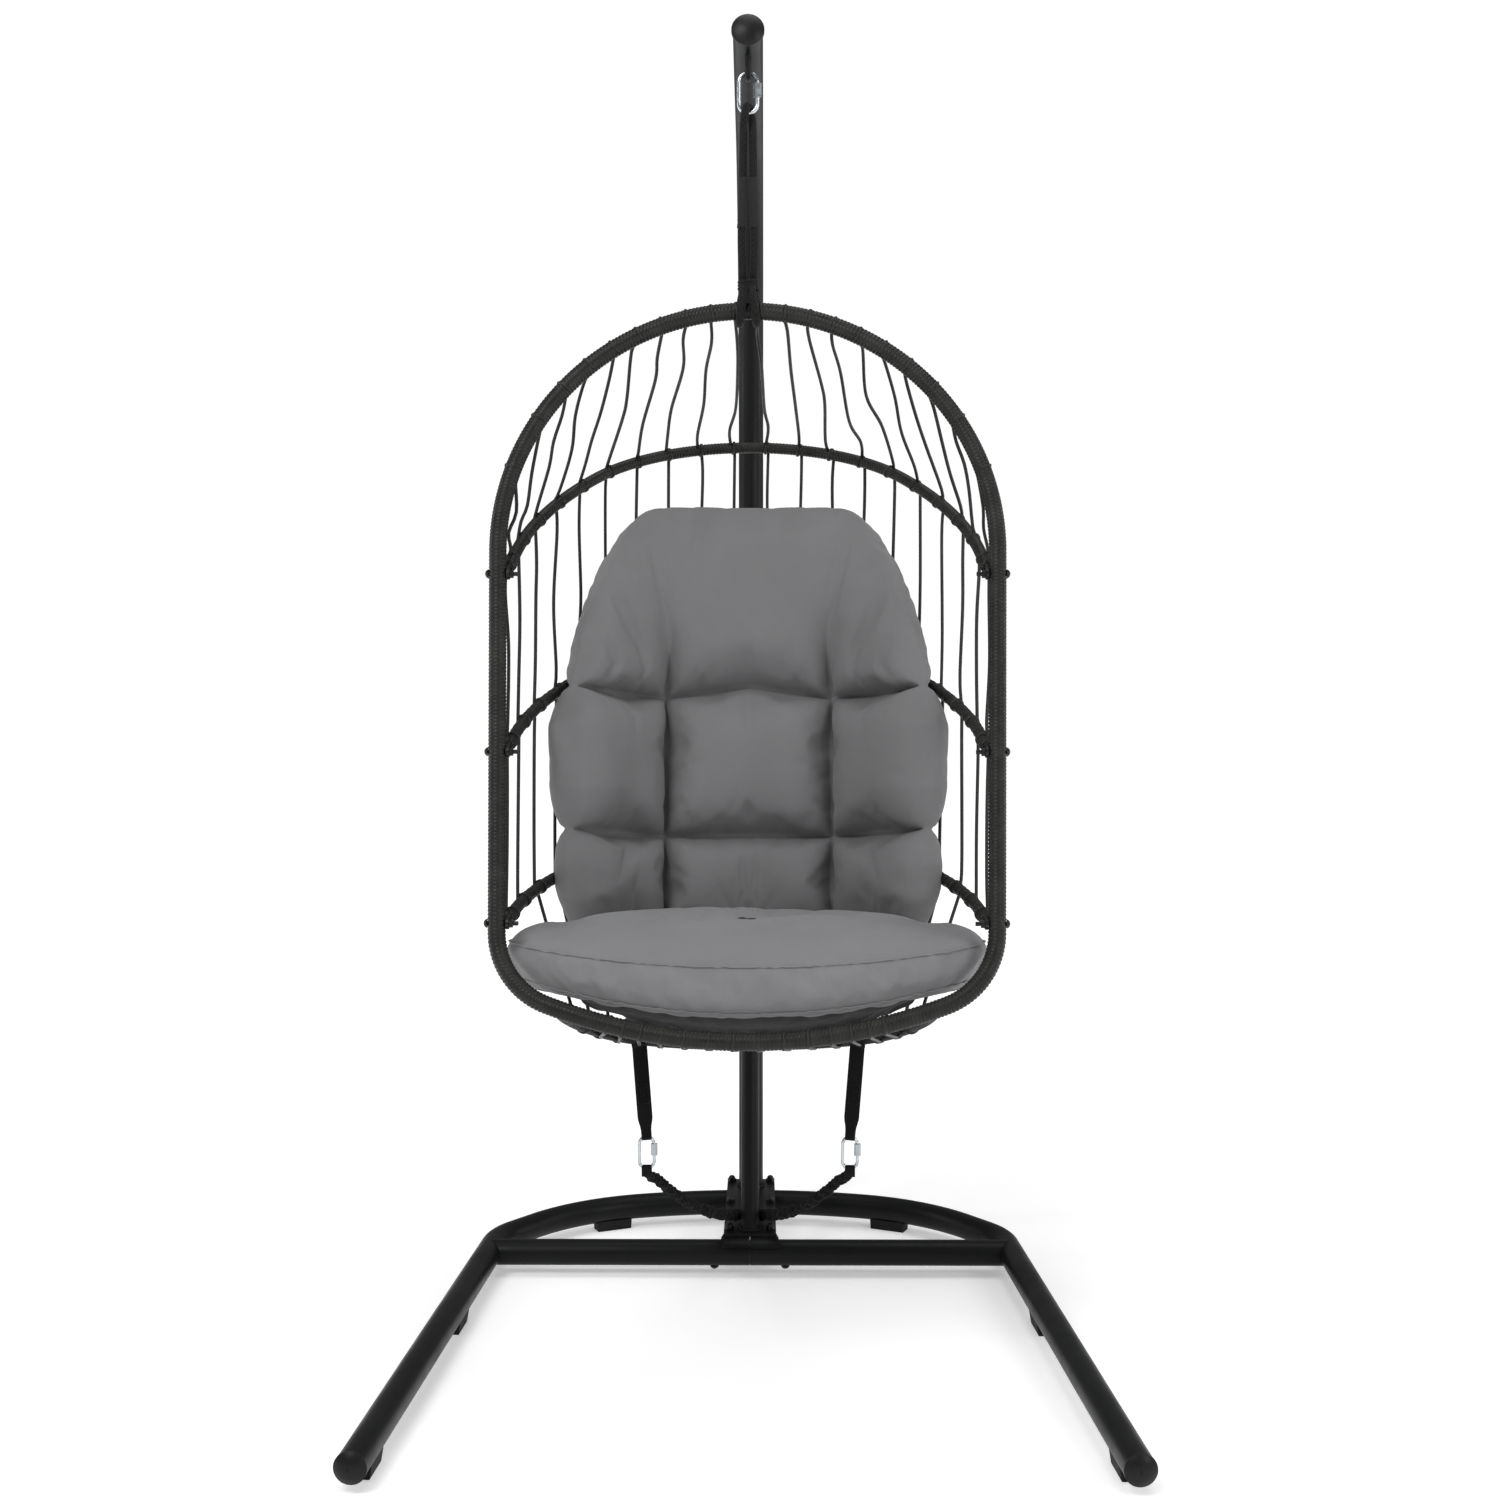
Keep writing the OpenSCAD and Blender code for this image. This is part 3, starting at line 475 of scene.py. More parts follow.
def woven(name, color, light, thread_mm, depth_mm, sheen=0.25, shade=0.6):
    """Plain weave in the material's own directions, with slubs and a soft change of shade."""
    m = Finish(name, color, 0.86, Sheen_Weight=sheen, Sheen_Roughness=0.45, Specular_IOR_Level=0.15)
    along, across = m.grain()
    turn = 2 * math.pi / (thread_mm / 1000)
    a = m.half_wave(m.math("MULTIPLY", along, turn))
    b = m.half_wave(m.math("MULTIPLY", across, turn))
    checks = m.math("ABSOLUTE", m.math("SUBTRACT", a, b))
    m.tint(m.ramp(m.noise(9, 3), 0.35, 0.70, 0.0, shade), light)
    m.tint(m.ramp(m.noise(900, 2), 0.45, 0.75, 0.0, 0.35), tuple(0.72 * c for c in color))
    m.roughen(m.noise(40, 3), 0.78, 0.92)
    m.bump(checks, depth_mm)
    return m.bump(m.noise(520, 3), 0.05).mat


def braid(name, color, light, pitch_mm, around_mm, depth_mm):
    """Diamond braid over a rope, with painted shade: its hollows darker and its crests lighter."""
    m = Finish(name, color, 0.80, Sheen_Weight=0.04, Sheen_Roughness=0.5, Specular_IOR_Level=0.15)
    along, across = m.grain()
    a = m.math("MULTIPLY", along, 2 * math.pi / (pitch_mm / 1000))
    b = m.math("MULTIPLY", across, 2 * math.pi / (around_mm / 1000))
    left = m.half_wave(m.math("ADD", a, b))
    right = m.half_wave(m.math("SUBTRACT", a, b))
    plait = m.math("MAXIMUM", left, right)
    # painted shade: the plait's hollows are darker and its crests lighter, following the bump's own height
    m.tint(m.ramp(plait, 0.3, 0.95, 0.0, 0.6), light)
    m.roughen(m.noise(80, 2), 0.72, 0.88)
    m.bump(plait, depth_mm)
    return m.bump(m.noise(1500, 2), 0.05).mat


MATERIALS = {
    "stand_paint": powder_coat(),
    "black_hardware": black_hardware(),
    "bare_steel": bare_steel(),
    "black_plastic": moulded_plastic(),
    "rubber": rubber(),
    "zinc_link": zinc("zinc_link", (0.46, 0.49, 0.51), 0.14, 0.30),
    "zinc_sleeve": zinc("zinc_sleeve", (0.36, 0.39, 0.41), 0.22, 0.38),
    "hoop_steel": black_hardware(),
    "wicker_wrap": wicker("wicker_wrap", (0.0080, 0.0078, 0.0071), (0.0200, 0.0195, 0.0175), 0.8),
    "wicker_strand": wicker("wicker_strand", (0.0130, 0.0130, 0.0120), (0.022, 0.022, 0.0205), 1.6),
    # back_fabric and seat_fabric are one fabric: the back's colours are set darker as painted shade, the
    # seat's lighter as painted light from above
    "back_fabric": woven("back_fabric", (0.150, 0.150, 0.154), (0.175, 0.175, 0.180), 0.9, 0.10, 0.12),
    "seat_fabric": woven("seat_fabric", (0.180, 0.181, 0.186), (0.205, 0.206, 0.211), 0.9, 0.10, 0.12),
    "webbing": woven("webbing", (0.0045, 0.0045, 0.0048), (0.0075, 0.0075, 0.0078), 2.4, 0.35, 0.03, 0.5),
    "elastic": woven("elastic", (0.0045, 0.0045, 0.0048), (0.0080, 0.0080, 0.0083), 1.6, 0.20, 0.04, 0.5),
    "rope": braid("rope", (0.0048, 0.0048, 0.0050), (0.0105, 0.0105, 0.0108), 8, 9.4, 0.5),
    "rope_band": woven("rope_band", (0.0150, 0.0150, 0.0156), (0.0200, 0.0200, 0.0205), 1.8, 0.25, 0.05, 0.5),
}
# A much darker copy of the seat fabric, as painted shade for the seat cushion's underside and end faces
MATERIALS["seat_underside_shade"] = woven("seat_underside_shade", (0.017, 0.017, 0.018), (0.024, 0.024, 0.026), 0.9, 0.10, 0.05)
MATERIALS["thread"] = woven("thread", (0.013, 0.013, 0.0135), (0.02, 0.02, 0.0205), 0.6, 0.1, 0.04)

for row in frame["record"]["subparts"]:
    slots = frame["nodes"][row["node"]].data.materials
    slots.clear()
    slots.append(MATERIALS[row["material_slot"]])

# ---------------------------------------------------------------- camera, light and floor


def add_camera():
    data = bpy.data.cameras.new("camera")
    data.lens, data.sensor_width = 52.56, 36
    data.clip_end = 200
    cam = bpy.data.objects.new("camera", data)
    cam.location = (0.0247, -3.2263, 1.1617)
    cam.rotation_euler = (math.radians(90 - 4.93), 0, 0.007)
    scene.collection.objects.link(cam)
    scene.camera = cam


def add_light(name, place, target, width, height, watts):
    data = bpy.data.lights.new(name, "AREA")
    data.shape, data.size, data.size_y, data.energy = "RECTANGLE", width, height, watts
    lamp = bpy.data.objects.new(name, data)
    lamp.location = place
    lamp.rotation_euler = (Vector(target) - Vector(place)).to_track_quat("-Z", "Y").to_euler()
    scene.collection.objects.link(lamp)


def add_world():
    world = bpy.data.worlds.new("studio")
    world.use_nodes = True
    tree = world.node_tree
    back = tree.nodes["Background"]
    back.inputs["Color"].default_value = (1, 1, 1, 1)
    path = tree.nodes.new("ShaderNodeLightPath")
    mix = tree.nodes.new("ShaderNodeMapRange")
    mix.inputs["To Min"].default_value = 0.26
    mix.inputs["To Max"].default_value = 1.02
    tree.links.new(path.outputs["Is Camera Ray"], mix.inputs["Value"])
    tree.links.new(mix.outputs[0], back.inputs["Strength"])
    scene.world = world


def add_floor():
    """A pale floor that shines a little further out, so that it meets the white background without a line."""
    rings, sides = 24, 96
    radius = 40 * (np.arange(rings + 1) / rings) ** 3
    angle = full_turn(sides)
    verts = np.stack(
        [radius[:, None] * np.cos(angle), radius[:, None] * np.sin(angle), np.zeros((rings + 1, sides))], -1
    )
    m = Finish("floor", (0.88, 0.88, 0.88), 0.75)
    far = m.node("ShaderNodeVectorMath", {0: m.place}, operation="LENGTH").outputs["Value"]
    glow = m.ramp(far, 0.4, 4.0, 0.30, 0.85)
    m.set("Emission Color", (1, 1, 1, 1))
    m.tree.links.new(glow, m.shader.inputs["Emission Strength"])
    m.roughen(m.noise(30, 2), 0.7, 0.8)
    floor = mesh_piece("floor", *grid_faces(verts, False, True), [m.mat])


add_camera()
add_world()
add_floor()
add_light("key", (-1.6, -2.6, 3.6), (0, -0.1, 0.8), 1.8, 1.8, 95)
add_light("fill", (2.6, -2.4, 2.0), (0, 0, 0.8), 1.4, 2.0, 46)
add_light("top", (0.3, 0.2, 4.2), (0, 0.0, 0.5), 2.2, 2.2, 42)
add_light("left_strip", (-3.0, 0.4, 1.3), (0, 0.1, 0.9), 0.5, 2.8, 24)
add_light("right_strip", (3.0, 0.6, 1.3), (0, 0.1, 0.9), 0.5, 2.8, 24)
scene.view_settings.view_transform = "Standard"

# ---------------------------------------------------------------- wicker wraps


def ribbed(path, closed, radius, turn_len, rib, step_share, sides, per_turn):
    """Centres and radii of a tube wound with strip.

    Each turn rises over step_share of its width and falls over the rest, or is round if that is None.
    """
    length = resample(path, 2, closed)[1]
    turns = round(length / turn_len)
    rings = turns * per_turn
    points, _ = resample(path, rings if closed else rings + 1, closed)
    phase = np.arange(len(points))[:, None] / per_turn - np.arange(sides)[None] / sides
    share = phase - np.floor(phase)
    if step_share is None:
        level = 1 - np.abs(2 * share - 1) ** 3
    else:
        level = np.minimum(share / step_share, (1 - share) / (1 - step_share))
    return points, radius - rib * (1 - level)


def loop_path():
    steps = [
        (0, BOTTOM_R, BOTTOM_TURN),
        (0, CORNER_R, SIDE_HEADING - BOTTOM_TURN),
        (SIDE_LEN, 0, 0),
        (0, ARCH_R, math.pi + 2 * SIDE_LEAN),
        (SIDE_LEN, 0, 0),
        (0, CORNER_R, SIDE_HEADING - BOTTOM_TURN),
        (0, BOTTOM_R, BOTTOM_TURN),
    ]
    flat = walk(steps, 0, 0.004)[:-1]
    return np.array([loop_point(x, LOOP_LEN - y) for x, y in flat])


def add_loop_wrap():
    path = loop_path()
    normal = [0, -math.cos(LOOP_TILT), math.sin(LOOP_TILT)]
    points, radii = ribbed(path, True, LOOP_R + 0.0004, 0.0052, 0.0011, None, 16, 6)
    shape = Shape()
    shape.sweep(points, radii, 16, closed=True, up=normal)
    loop = shape.piece("loop_wicker", [MATERIALS["wicker_wrap"]], "basket")
    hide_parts("loop_wrap")


def hoop_centre_line(hoop, first_turn):
    """The hoop's centre line, starting a small turn after its straight ends."""
    steps = [
        (0, SIDE_ARC_R, first_turn - hoop.turn),
        (0, hoop.back_r, 2 * hoop.turn - math.pi),
        (0, SIDE_ARC_R, first_turn - hoop.turn),
    ]
    start = np.array(
        [
            -hoop.half + SIDE_ARC_R * (1 - math.cos(first_turn)),
            STRAIGHT_IN + SIDE_ARC_R * math.sin(first_turn),
        ]
    )
    flat = walk(steps, math.pi / 2 - first_turn, 0.004) + start
    return np.array([hoop.place(x, y) for x, y in flat])


def add_hoop_wrap(index, name, node, turn_len, rib, step_share):
    hoop = HOOPS[index]
    path = hoop_centre_line(hoop, math.radians(0.8))
    normal = [0, -math.sin(hoop.rise), math.cos(hoop.rise)]
    per_turn = 6 if step_share is None else 10
    points, radii = ribbed(path, False, hoop.radius + 0.0003, turn_len, rib, step_share, 14, per_turn)
    to_end = np.minimum(np.arange(len(points)), np.arange(len(points))[::-1])
    radii *= (0.80 + 0.20 * smooth(to_end / 5))[:, None]
    shape = Shape()
    shape.sweep(points, radii, 14, up=normal)
    wrap = shape.piece(name, [MATERIALS["wicker_wrap"]], "basket")
    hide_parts(node)


add_loop_wrap()
add_hoop_wrap(0, "upper_hoop_wicker", "upper_hoop_wrap", 0.0052, 0.0009, None)
add_hoop_wrap(1, "middle_hoop_wicker", "middle_hoop_wrap", 0.0170, 0.0008, 0.92)
add_hoop_wrap(2, "lower_hoop_wicker", "lower_hoop_wrap", 0.0170, 0.0008, 0.92)
add_hoop_wrap(3, "seat_hoop_wicker", "seat_hoop_wrap", 0.0052, 0.0009, None)

# ---------------------------------------------------------------- strands

luck = np.random.default_rng(7)


def coil(centre, tube, start, turn, radius, turns, advance):
    """Points round a tube: start and turn are directions across it, at no turn and at a quarter turn."""
    n = max(4, round(abs(turns) * 14))
    t = np.arange(n + 1)[:, None] / n * turns
    ring = radius * (np.cos(2 * math.pi * t) * start + np.sin(2 * math.pi * t) * turn)
    return centre + ring + (t - turns / 2) * advance * tube


def wavy(a, b, size, kinks):
    """A line from a to b with a few soft random kinks sideways, without its ends."""
    along = unit(b - a)
    side = unit(np.cross(along, [0, 1, 0.2]))
    over = np.cross(side, along)
    knots = [a]
    for k in range(kinks):
        t = (k + 0.5 + luck.uniform(-0.28, 0.28)) / kinks
        sway, lift = luck.uniform(-1, 1), luck.uniform(-0.5, 0.5)
        knots.append(a + (b - a) * t + size * (sway * side + lift * over))
    return spline([*knots, b], 0.010)[1:-1]


def across(tube, direction):
    """The part of a direction that is square to a tube, and the one square to both."""
    square = unit(direction - tube * (direction @ tube))
    return square, np.cross(tube, square)


def strand_path(side, i):
    """One cord from the loop's arch, round each hoop, and under the seat to the loop's bottom."""
    x0 = side * (i + 0.5) * ARCH_PITCH
    arch = loop_point(x0, arch_s(abs(x0)))
    near = loop_point(x0 + 0.001, arch_s(abs(x0 + 0.001)))
    tube = unit(near - arch)
    first = HOOPS[0].point(side * HOOPS[0].strand_x(i))
    leave, square = across(tube, unit(first - arch))
    start = coil(arch, tube, leave, square, LOOP_R - 0.0006, 0.7, 0.0052)[::-1]
    parts = [start]
    here = start[-1]
    last = 4 if i < STRANDS_TO_SEAT_HOOP else 3
    for k in range(last):
        hoop = HOOPS[k]
        x = side * hoop.strand_x(i)
        centre, tube = hoop.point(x), hoop.tangent(x)
        outward = unit(np.array([centre[0], (centre[1] - EYE_Y + 0.05), 0]))
        out, over = across(tube, outward)
        if over[2] < 0:
            over = -over
        turns = 1.0 if k < last - 1 else (1.25 if last == 4 else 1.5)
        ring = coil(centre, tube, out, -over, hoop.radius - 0.0002, turns, 0.0052)
        size = (luck.uniform(0.004, 0.011) * (1 - 0.06 * i), 0.0030, 0.0018, 0.0010)[k]
        parts += [wavy(here, ring[0], size, (4, 3, 2, 2)[k]), ring]
        here = ring[-1]
    if i < STRANDS_UNDER_SEAT:
        x = side * 0.86 * abs(HOOPS[3].strand_x(i))
        bar = loop_point(x, bottom_s(abs(x)))
        tube = unit(loop_point(x + 0.001, bottom_s(abs(x + 0.001))) - bar)
        ahead, _ = across(tube, unit(bar - here))
        down = unit(np.cross(tube, ahead))
        if down[2] > 0:
            down = -down
        ring = coil(bar, tube, down, ahead, LOOP_R - 0.0006, 0.8, 0.0052)
        parts += [wavy(here, ring[0], 0.0008, 2), ring]
    return np.vstack(parts)


def add_strands():
    made = []
    for side, word in ((-1, "left"), (1, "right")):
        for i in range(STRANDS_A_SIDE):
            shape = Shape()
            shape.sweep(strand_path(side, i), STRAND_R, 8)
            strand = shape.piece(f"strand_{word}_{i + 1:02d}", [MATERIALS["wicker_strand"]], "basket")
            made.append((i, strand))
    for i, strand in made:
        nodes = ["strands_top", "strands_upper", "strands_middle"]
        if i < STRANDS_TO_SEAT_HOOP:
            nodes.append("strands_lower")
        if i < STRANDS_UNDER_SEAT:
            nodes.append("strands_seat")
        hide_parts(*nodes)


add_strands()

# ---------------------------------------------------------------- cushions


def swell(obj, pressure, frames, cap, stretch, pins):
    """Blows up a closed cloth, holding the pinned vertices, and keeps every point within cap of its start."""
    n = len(obj.data.vertices)
    before = np.empty(n * 3)
    obj.data.vertices.foreach_get("co", before)
    before = before.reshape(-1, 3)
    group = obj.vertex_groups.new(name="pins")
    for weight in np.unique(pins[pins > 0]):
        group.add([int(i) for i in np.flatnonzero(pins == weight)], float(weight), "REPLACE")
    cloth = obj.modifiers.new("swell", "CLOTH")
    settings = cloth.settings
    settings.quality = 5
    settings.mass = 0.25
    settings.air_damping = 4
    settings.tension_stiffness = settings.compression_stiffness = 18
    settings.shear_stiffness = 6
    settings.bending_stiffness = 0.25
    settings.shrink_min = -stretch
    settings.use_pressure = True
    settings.uniform_pressure_force = pressure
    settings.vertex_group_mass = "pins"
    settings.effector_weights.gravity = 0
    cloth.collision_settings.use_collision = False
    cloth.point_cache.frame_start, cloth.point_cache.frame_end = 1, frames
    for number in range(1, frames + 1):
        scene.frame_set(number)
    seen = obj.evaluated_get(bpy.context.evaluated_depsgraph_get())
    after = np.empty(n * 3)
    seen.data.vertices.foreach_get("co", after)
    move = after.reshape(-1, 3) - before
    far = np.linalg.norm(move, axis=1, keepdims=True)
    held = cap * np.tanh(far / cap) / np.maximum(far, 1e-9)
    obj.modifiers.remove(cloth)
    obj.vertex_groups.remove(obj.vertex_groups["pins"])
    obj.data.vertices.foreach_set("co", (before + move * held).ravel())
    scene.frame_set(1)


def soften(obj, levels=1):
    made = obj.modifiers.new("smooth", "SUBSURF")
    made.levels = made.render_levels = levels


def plump(distance, reach):
    """0 at a seam, rising to 1 well away from it."""
    return 1 - np.exp(-np.maximum(distance, 0) / reach)


SEAT_MIDDLE = np.array([0.0, -0.185])
STRAND_GAP = 0.006
HOLD_FADE = 0.35  # radians round the seat's middle


def held_in(cushion):
    """Draws a cushion in to the strands from the middle hoop down, fading out past the last one."""
    points = np.array([v.co for v in cushion.data.vertices])
    out = points[:, :2] - SEAT_MIDDLE
    reach = np.linalg.norm(out, axis=1)
    angle = np.arctan2(np.abs(out[:, 0]), out[:, 1])
    turns, limits = [], []
    for i in range(STRANDS_TO_SEAT_HOOP):
        x, y, z = np.array([hoop.point(hoop.strand_x(i)) for hoop in HOOPS[:0:-1]]).T
        spot = np.stack([np.interp(points[:, 2], z, x), np.interp(points[:, 2], z, y)], 1) - SEAT_MIDDLE
        turns.append(np.arctan2(spot[:, 0], spot[:, 1]))
        limits.append(np.linalg.norm(spot, axis=1) - STRAND_GAP)
    turns, limits = np.array(turns).T, np.array(limits).T
    limit = np.array([np.interp(a, t, r) for a, t, r in zip(angle, turns, limits, strict=True)])
    held = 1 - smooth((angle - turns[:, -1]) / HOLD_FADE)
    share = 1 - held * np.maximum(1 - limit / np.maximum(reach, 1e-6), 0)
    points[:, :2] = SEAT_MIDDLE + out * share[:, None]
    cushion.data.vertices.foreach_set("co", points.ravel())
    return points


BACK_AXIS = np.array([0, EYE_Y - 0.113, 0.655])
BACK_LEAN = math.radians(12.5)
BACK_H = 0.645
LOW_SEAM_H = 0.142
HIGH_SEAM_H = 0.352
HIGH_SEAM_PEAK = 0.019
TOP_CROWN = 0.010
SEAM_ARC = 0.131


BACK_OUTLINE = [  # height along the lean, half width
    (0, 0.318), (0.04, 0.336), (0.09, 0.340), (LOW_SEAM_H, 0.334), (0.20, 0.356), (0.29, 0.360),
    (HIGH_SEAM_H, 0.326), (0.40, 0.308), (0.45, 0.288), (0.51, 0.262), (0.56, 0.236), (0.60, 0.208),
    (0.63, 0.178), (BACK_H, 0.140),
]  # fmt: skip


def back_half_width(h):
    """Half the width of the back cushion along its curve, at a height along its lean."""
    return np.interp(h, *np.transpose(BACK_OUTLINE))


def back_curve(a):
    """Plan of the back cushion's middle layer: x, y and the direction to the front, at a along its curve."""
    fine = np.linspace(0, 0.40, 401)
    heading = math.radians(16) * np.minimum(fine / 0.14, 1) + math.radians(50) * smooth((fine - 0.11) / 0.20)
    step = fine[1] - fine[0]
    x = np.concatenate([[0], np.cumsum(np.cos(heading[:-1]) * step)])
    y = -np.concatenate([[0], np.cumsum(np.sin(heading[:-1]) * step)])
    size = np.abs(a)
    turn = np.interp(size, fine, heading) * np.sign(a)
    place = np.stack([np.interp(size, fine, x) * np.sign(a), np.interp(size, fine, y) + 0.232], -1)
    front = np.stack([-np.sin(turn), -np.cos(turn)], -1)
    return place, front


def stretched(n, marks, places):
    """n + 1 values along a line, so that each marked index falls on its place."""
    index = np.arange(n + 1)
    return np.array([np.interp(index, marks, p) for p in places])


def crease_seams(mesh, pins, rim):
    """Keeps the seams sharp under the smoothing, as far as they are held, but not the rim."""
    ends = np.empty(len(mesh.edges) * 2, np.int32)
    mesh.edges.foreach_get("vertices", ends)
    ends = ends.reshape(-1, 2)
    sharp = np.where(rim[ends].any(1), 0, pins[ends].min(1)).astype(np.float32)
    mesh.attributes.new("crease_edge", "FLOAT", "EDGE").data.foreach_set("value", sharp)


def add_back_cushion():
    columns, rows = 96, 84
    left, right, low, high = 27, 69, 18, 46
    rough = np.linspace(-1, 1, columns + 1)
    peak = HIGH_SEAM_PEAK * np.clip(1 - np.abs(rough) / 0.42, 0, 1)
    top = BACK_H + TOP_CROWN * (1 - rough**2)
    heights = [(0, LOW_SEAM_H, HIGH_SEAM_H + p, t) for p, t in zip(peak, top, strict=True)]
    hh = stretched(rows, [0, low, high, rows], heights).T
    width = back_half_width(hh)
    edge_width = back_half_width(hh[:, 0])
    seam = np.minimum(SEAM_ARC, 0.55 * edge_width)
    places = [(-w, -x, x, w) for w, x in zip(edge_width, seam, strict=True)]
    arc = stretched(columns, [0, left, right, columns], places)
    to_seam_x = np.abs(np.abs(arc) - seam[:, None])
    to_seam_h = np.minimum(np.abs(hh - hh[low]), np.abs(hh - hh[high]))
    to_edge = np.minimum(width - np.abs(arc), np.minimum(hh, top - hh))
    fade = 1 - smooth((hh - HIGH_SEAM_H - 0.01) / 0.14)
    cell = plump(to_seam_h, 0.019) * (1 - fade * (1 - plump(to_seam_x, 0.020)))
    thick = 0.010 + 0.088 * np.sqrt(cell) * np.sqrt(plump(to_edge, 0.030))
    edge = np.zeros(arc.shape, bool)
    edge[[0, -1], :] = edge[:, [0, -1]] = True
    thick[edge] = 0
    hold = np.where(edge, 0.92, 0.0)
    column_hold = 1 - 0.97 * smooth((hh[:, left] - HIGH_SEAM_H) / 0.12)
    for c in (left, right):
        hold[:, c] = np.maximum(hold[:, c], column_hold)
    hold[[low, high], :] = 1
    plan, front = back_curve(arc)
    layers = [
        np.stack([plan[..., 0] + front[..., 0] * thick * k, plan[..., 1] + front[..., 1] * thick * k, hh], -1)
        for k in (0.60, -0.34)
    ]
    count = arc.size
    index = [np.arange(count).reshape(arc.shape)]
    inner = ~edge
    behind = index[0].copy()
    behind[inner] = count + np.arange(inner.sum())
    index.append(behind)
    local = np.vstack([layers[0].reshape(-1, 3), layers[1][inner]])
    flat_place = np.stack([arc, hh, np.zeros_like(arc)], -1)
    grain = np.vstack([flat_place.reshape(-1, 3), flat_place[inner] + [0, 1, 0]])
    pins = np.round(np.concatenate([hold.ravel(), hold[inner]]), 2)
    faces = []
    for k, grid in enumerate(index):
        quads = np.stack([grid[:-1, :-1], grid[:-1, 1:], grid[1:, 1:], grid[1:, :-1]], -1).reshape(-1, 4)
        faces += (quads if k == 0 else quads[:, ::-1]).tolist()
    cos, sin = math.cos(BACK_LEAN), math.sin(BACK_LEAN)
    x, y, h = local.T
    verts = np.stack([x, y * cos + h * sin, h * cos - y * sin], 1) + BACK_AXIS
    cushion = mesh_piece("back_cushion_pad", verts, faces, [MATERIALS["back_fabric"]], None, grain)
    swell(cushion, 4.5, 20, 0.016, 0.05, pins)
    held_in(cushion)
    crease_seams(cushion.data, pins, np.concatenate([edge.ravel(), edge[inner]]))
    soften(cushion)
    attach(cushion, "basket")
    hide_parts("back_cushion")


SEAT_OUTLINE = [
    (0, -0.325), (0.10, -0.326), (0.20, -0.325), (0.278, -0.318), (0.312, -0.296), (0.325, -0.260),
    (0.316, -0.212), (0.271, -0.152), (0.212, -0.088), (0.148, -0.040), (0.075, -0.015), (0, -0.008),
]  # fmt: skip


def seat_outline(n):
    """Plan of the seat cushion: flat to the front, round to the back."""
    right = np.array([(x, y, 0) for x, y in SEAT_OUTLINE])
    whole = np.vstack([right, right[-2:0:-1] * [-1, 1, 1], right[:1]])
    return resample(spline(whole, 0.004)[:-1, :2], n, True)[0]


def seat_strand_z(plan):
    """Height of the top of the seat's strands, and of the bar they start from, under points of the plan."""
    x, y = plan[:, 0], plan[:, 1]
    return 0.5275 + 0.66 * x**2 - 0.21 * (y + 0.361)


def add_seat_cushion():
    n, rings, band = 208, 24, 8
    edge, middle = seat_outline(n), SEAT_MIDDLE
    share = np.clip(np.abs(edge[:, 0]) / 0.325, 0, 1)
    back = np.clip((edge[:, 1] + 0.325) / 0.32, 0, 1)
    upper = 0.6190 + 0.031 * share**2 - 0.034 * back
    lower = 0.5550 + 0.050 * share**2 * (1 - back) - 0.030 * back
    narrow = 1 - 0.045 * share**2
    under = middle + (edge - middle) * narrow[:, None]
    out = unit(edge - middle)
    rows, grain = [], []

    def put(plan, z, g):
        rows.append(np.column_stack([plan, z]))
        grain.append(np.column_stack([plan[:, 0], plan[:, 1] - g, 0 * z]))

    for k in range(1, rings + 1):
        t = k / rings
        puff = 0.046 * (1 - t**3.2) ** 0.7
        centre = np.mean(upper) + 0.004
        put(middle + (edge - middle) * t, centre + (upper - centre) * t**2 + puff, 0)
    for k in range(1, band + 1):
        t = k / band
        plan = edge + (under - edge) * t + out * 0.009 * math.sin(math.pi * t)
        put(plan, upper + (lower - upper) * t, 0.07 * t)
    for k in range(rings - 1, 0, -1):
        t = k / rings
        plan = middle + (under - middle) * t
        drop = (1 - t**6) ** 0.5
        put(plan, lower + (seat_strand_z(plan) + 0.006 - lower) * drop, 0.07)
    verts, faces = grid_faces(np.array(rows), False, True, True)
    cushion = mesh_piece(
        "seat_cushion_pad", verts, faces, [MATERIALS["seat_fabric"]], None, np.vstack(grain)
    )
    seams = (rings - 1, rings + band - 1)
    pins = np.zeros((len(rows), n))
    pins[list(seams)] = 0.92
    swell(cushion, 3.5, 18, 0.012, 0.045, pins.ravel())
    places = held_in(cushion)
    grid = places.reshape(len(rows), n, 3)  # its three rows at either end are narrow, and are laid out evenly
    for side in (1, -1):
        ends = grid[::side]
        centre = ends[3].mean(axis=0)
        for k in range(3):
            ends[k] = centre + (ends[3] - centre) * (k + 1) / 4
    places[:, 2] = np.maximum(places[:, 2], seat_strand_z(places[:, :2]) + 0.0035)
    cushion.data.vertices.foreach_set("co", places.ravel())
    # painted shade: the underside and both end faces take the dark copy of the seat fabric
    base = np.zeros(len(faces), np.int32)
    base[(rings + band) * n :] = 1  # the underside, and both end faces, which come last
    cushion.data.materials.append(MATERIALS["seat_underside_shade"])
    cushion.data.polygons.foreach_set("material_index", base)
    sewn = Shape()
    for seam in seams:
        ring = np.array([cushion.data.vertices[seam * n + i].co for i in range(n)])
        wobble = 0.0012 + 0.00025 * np.sin(np.arange(n) * 1.9) + 0.0002 * np.sin(np.arange(n) * 3.1)
        sewn.sweep(ring + np.column_stack([out * 0.0006, 0 * ring[:, 2]]), wobble, 8, closed=True)
    ridge = sewn.piece("seat_cushion_seams", [MATERIALS["seat_fabric"]], "basket")
    soften(cushion)
    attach(cushion, "basket")
    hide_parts("seat_cushion")


add_back_cushion()
add_seat_cushion()

# ---------------------------------------------------------------- sling


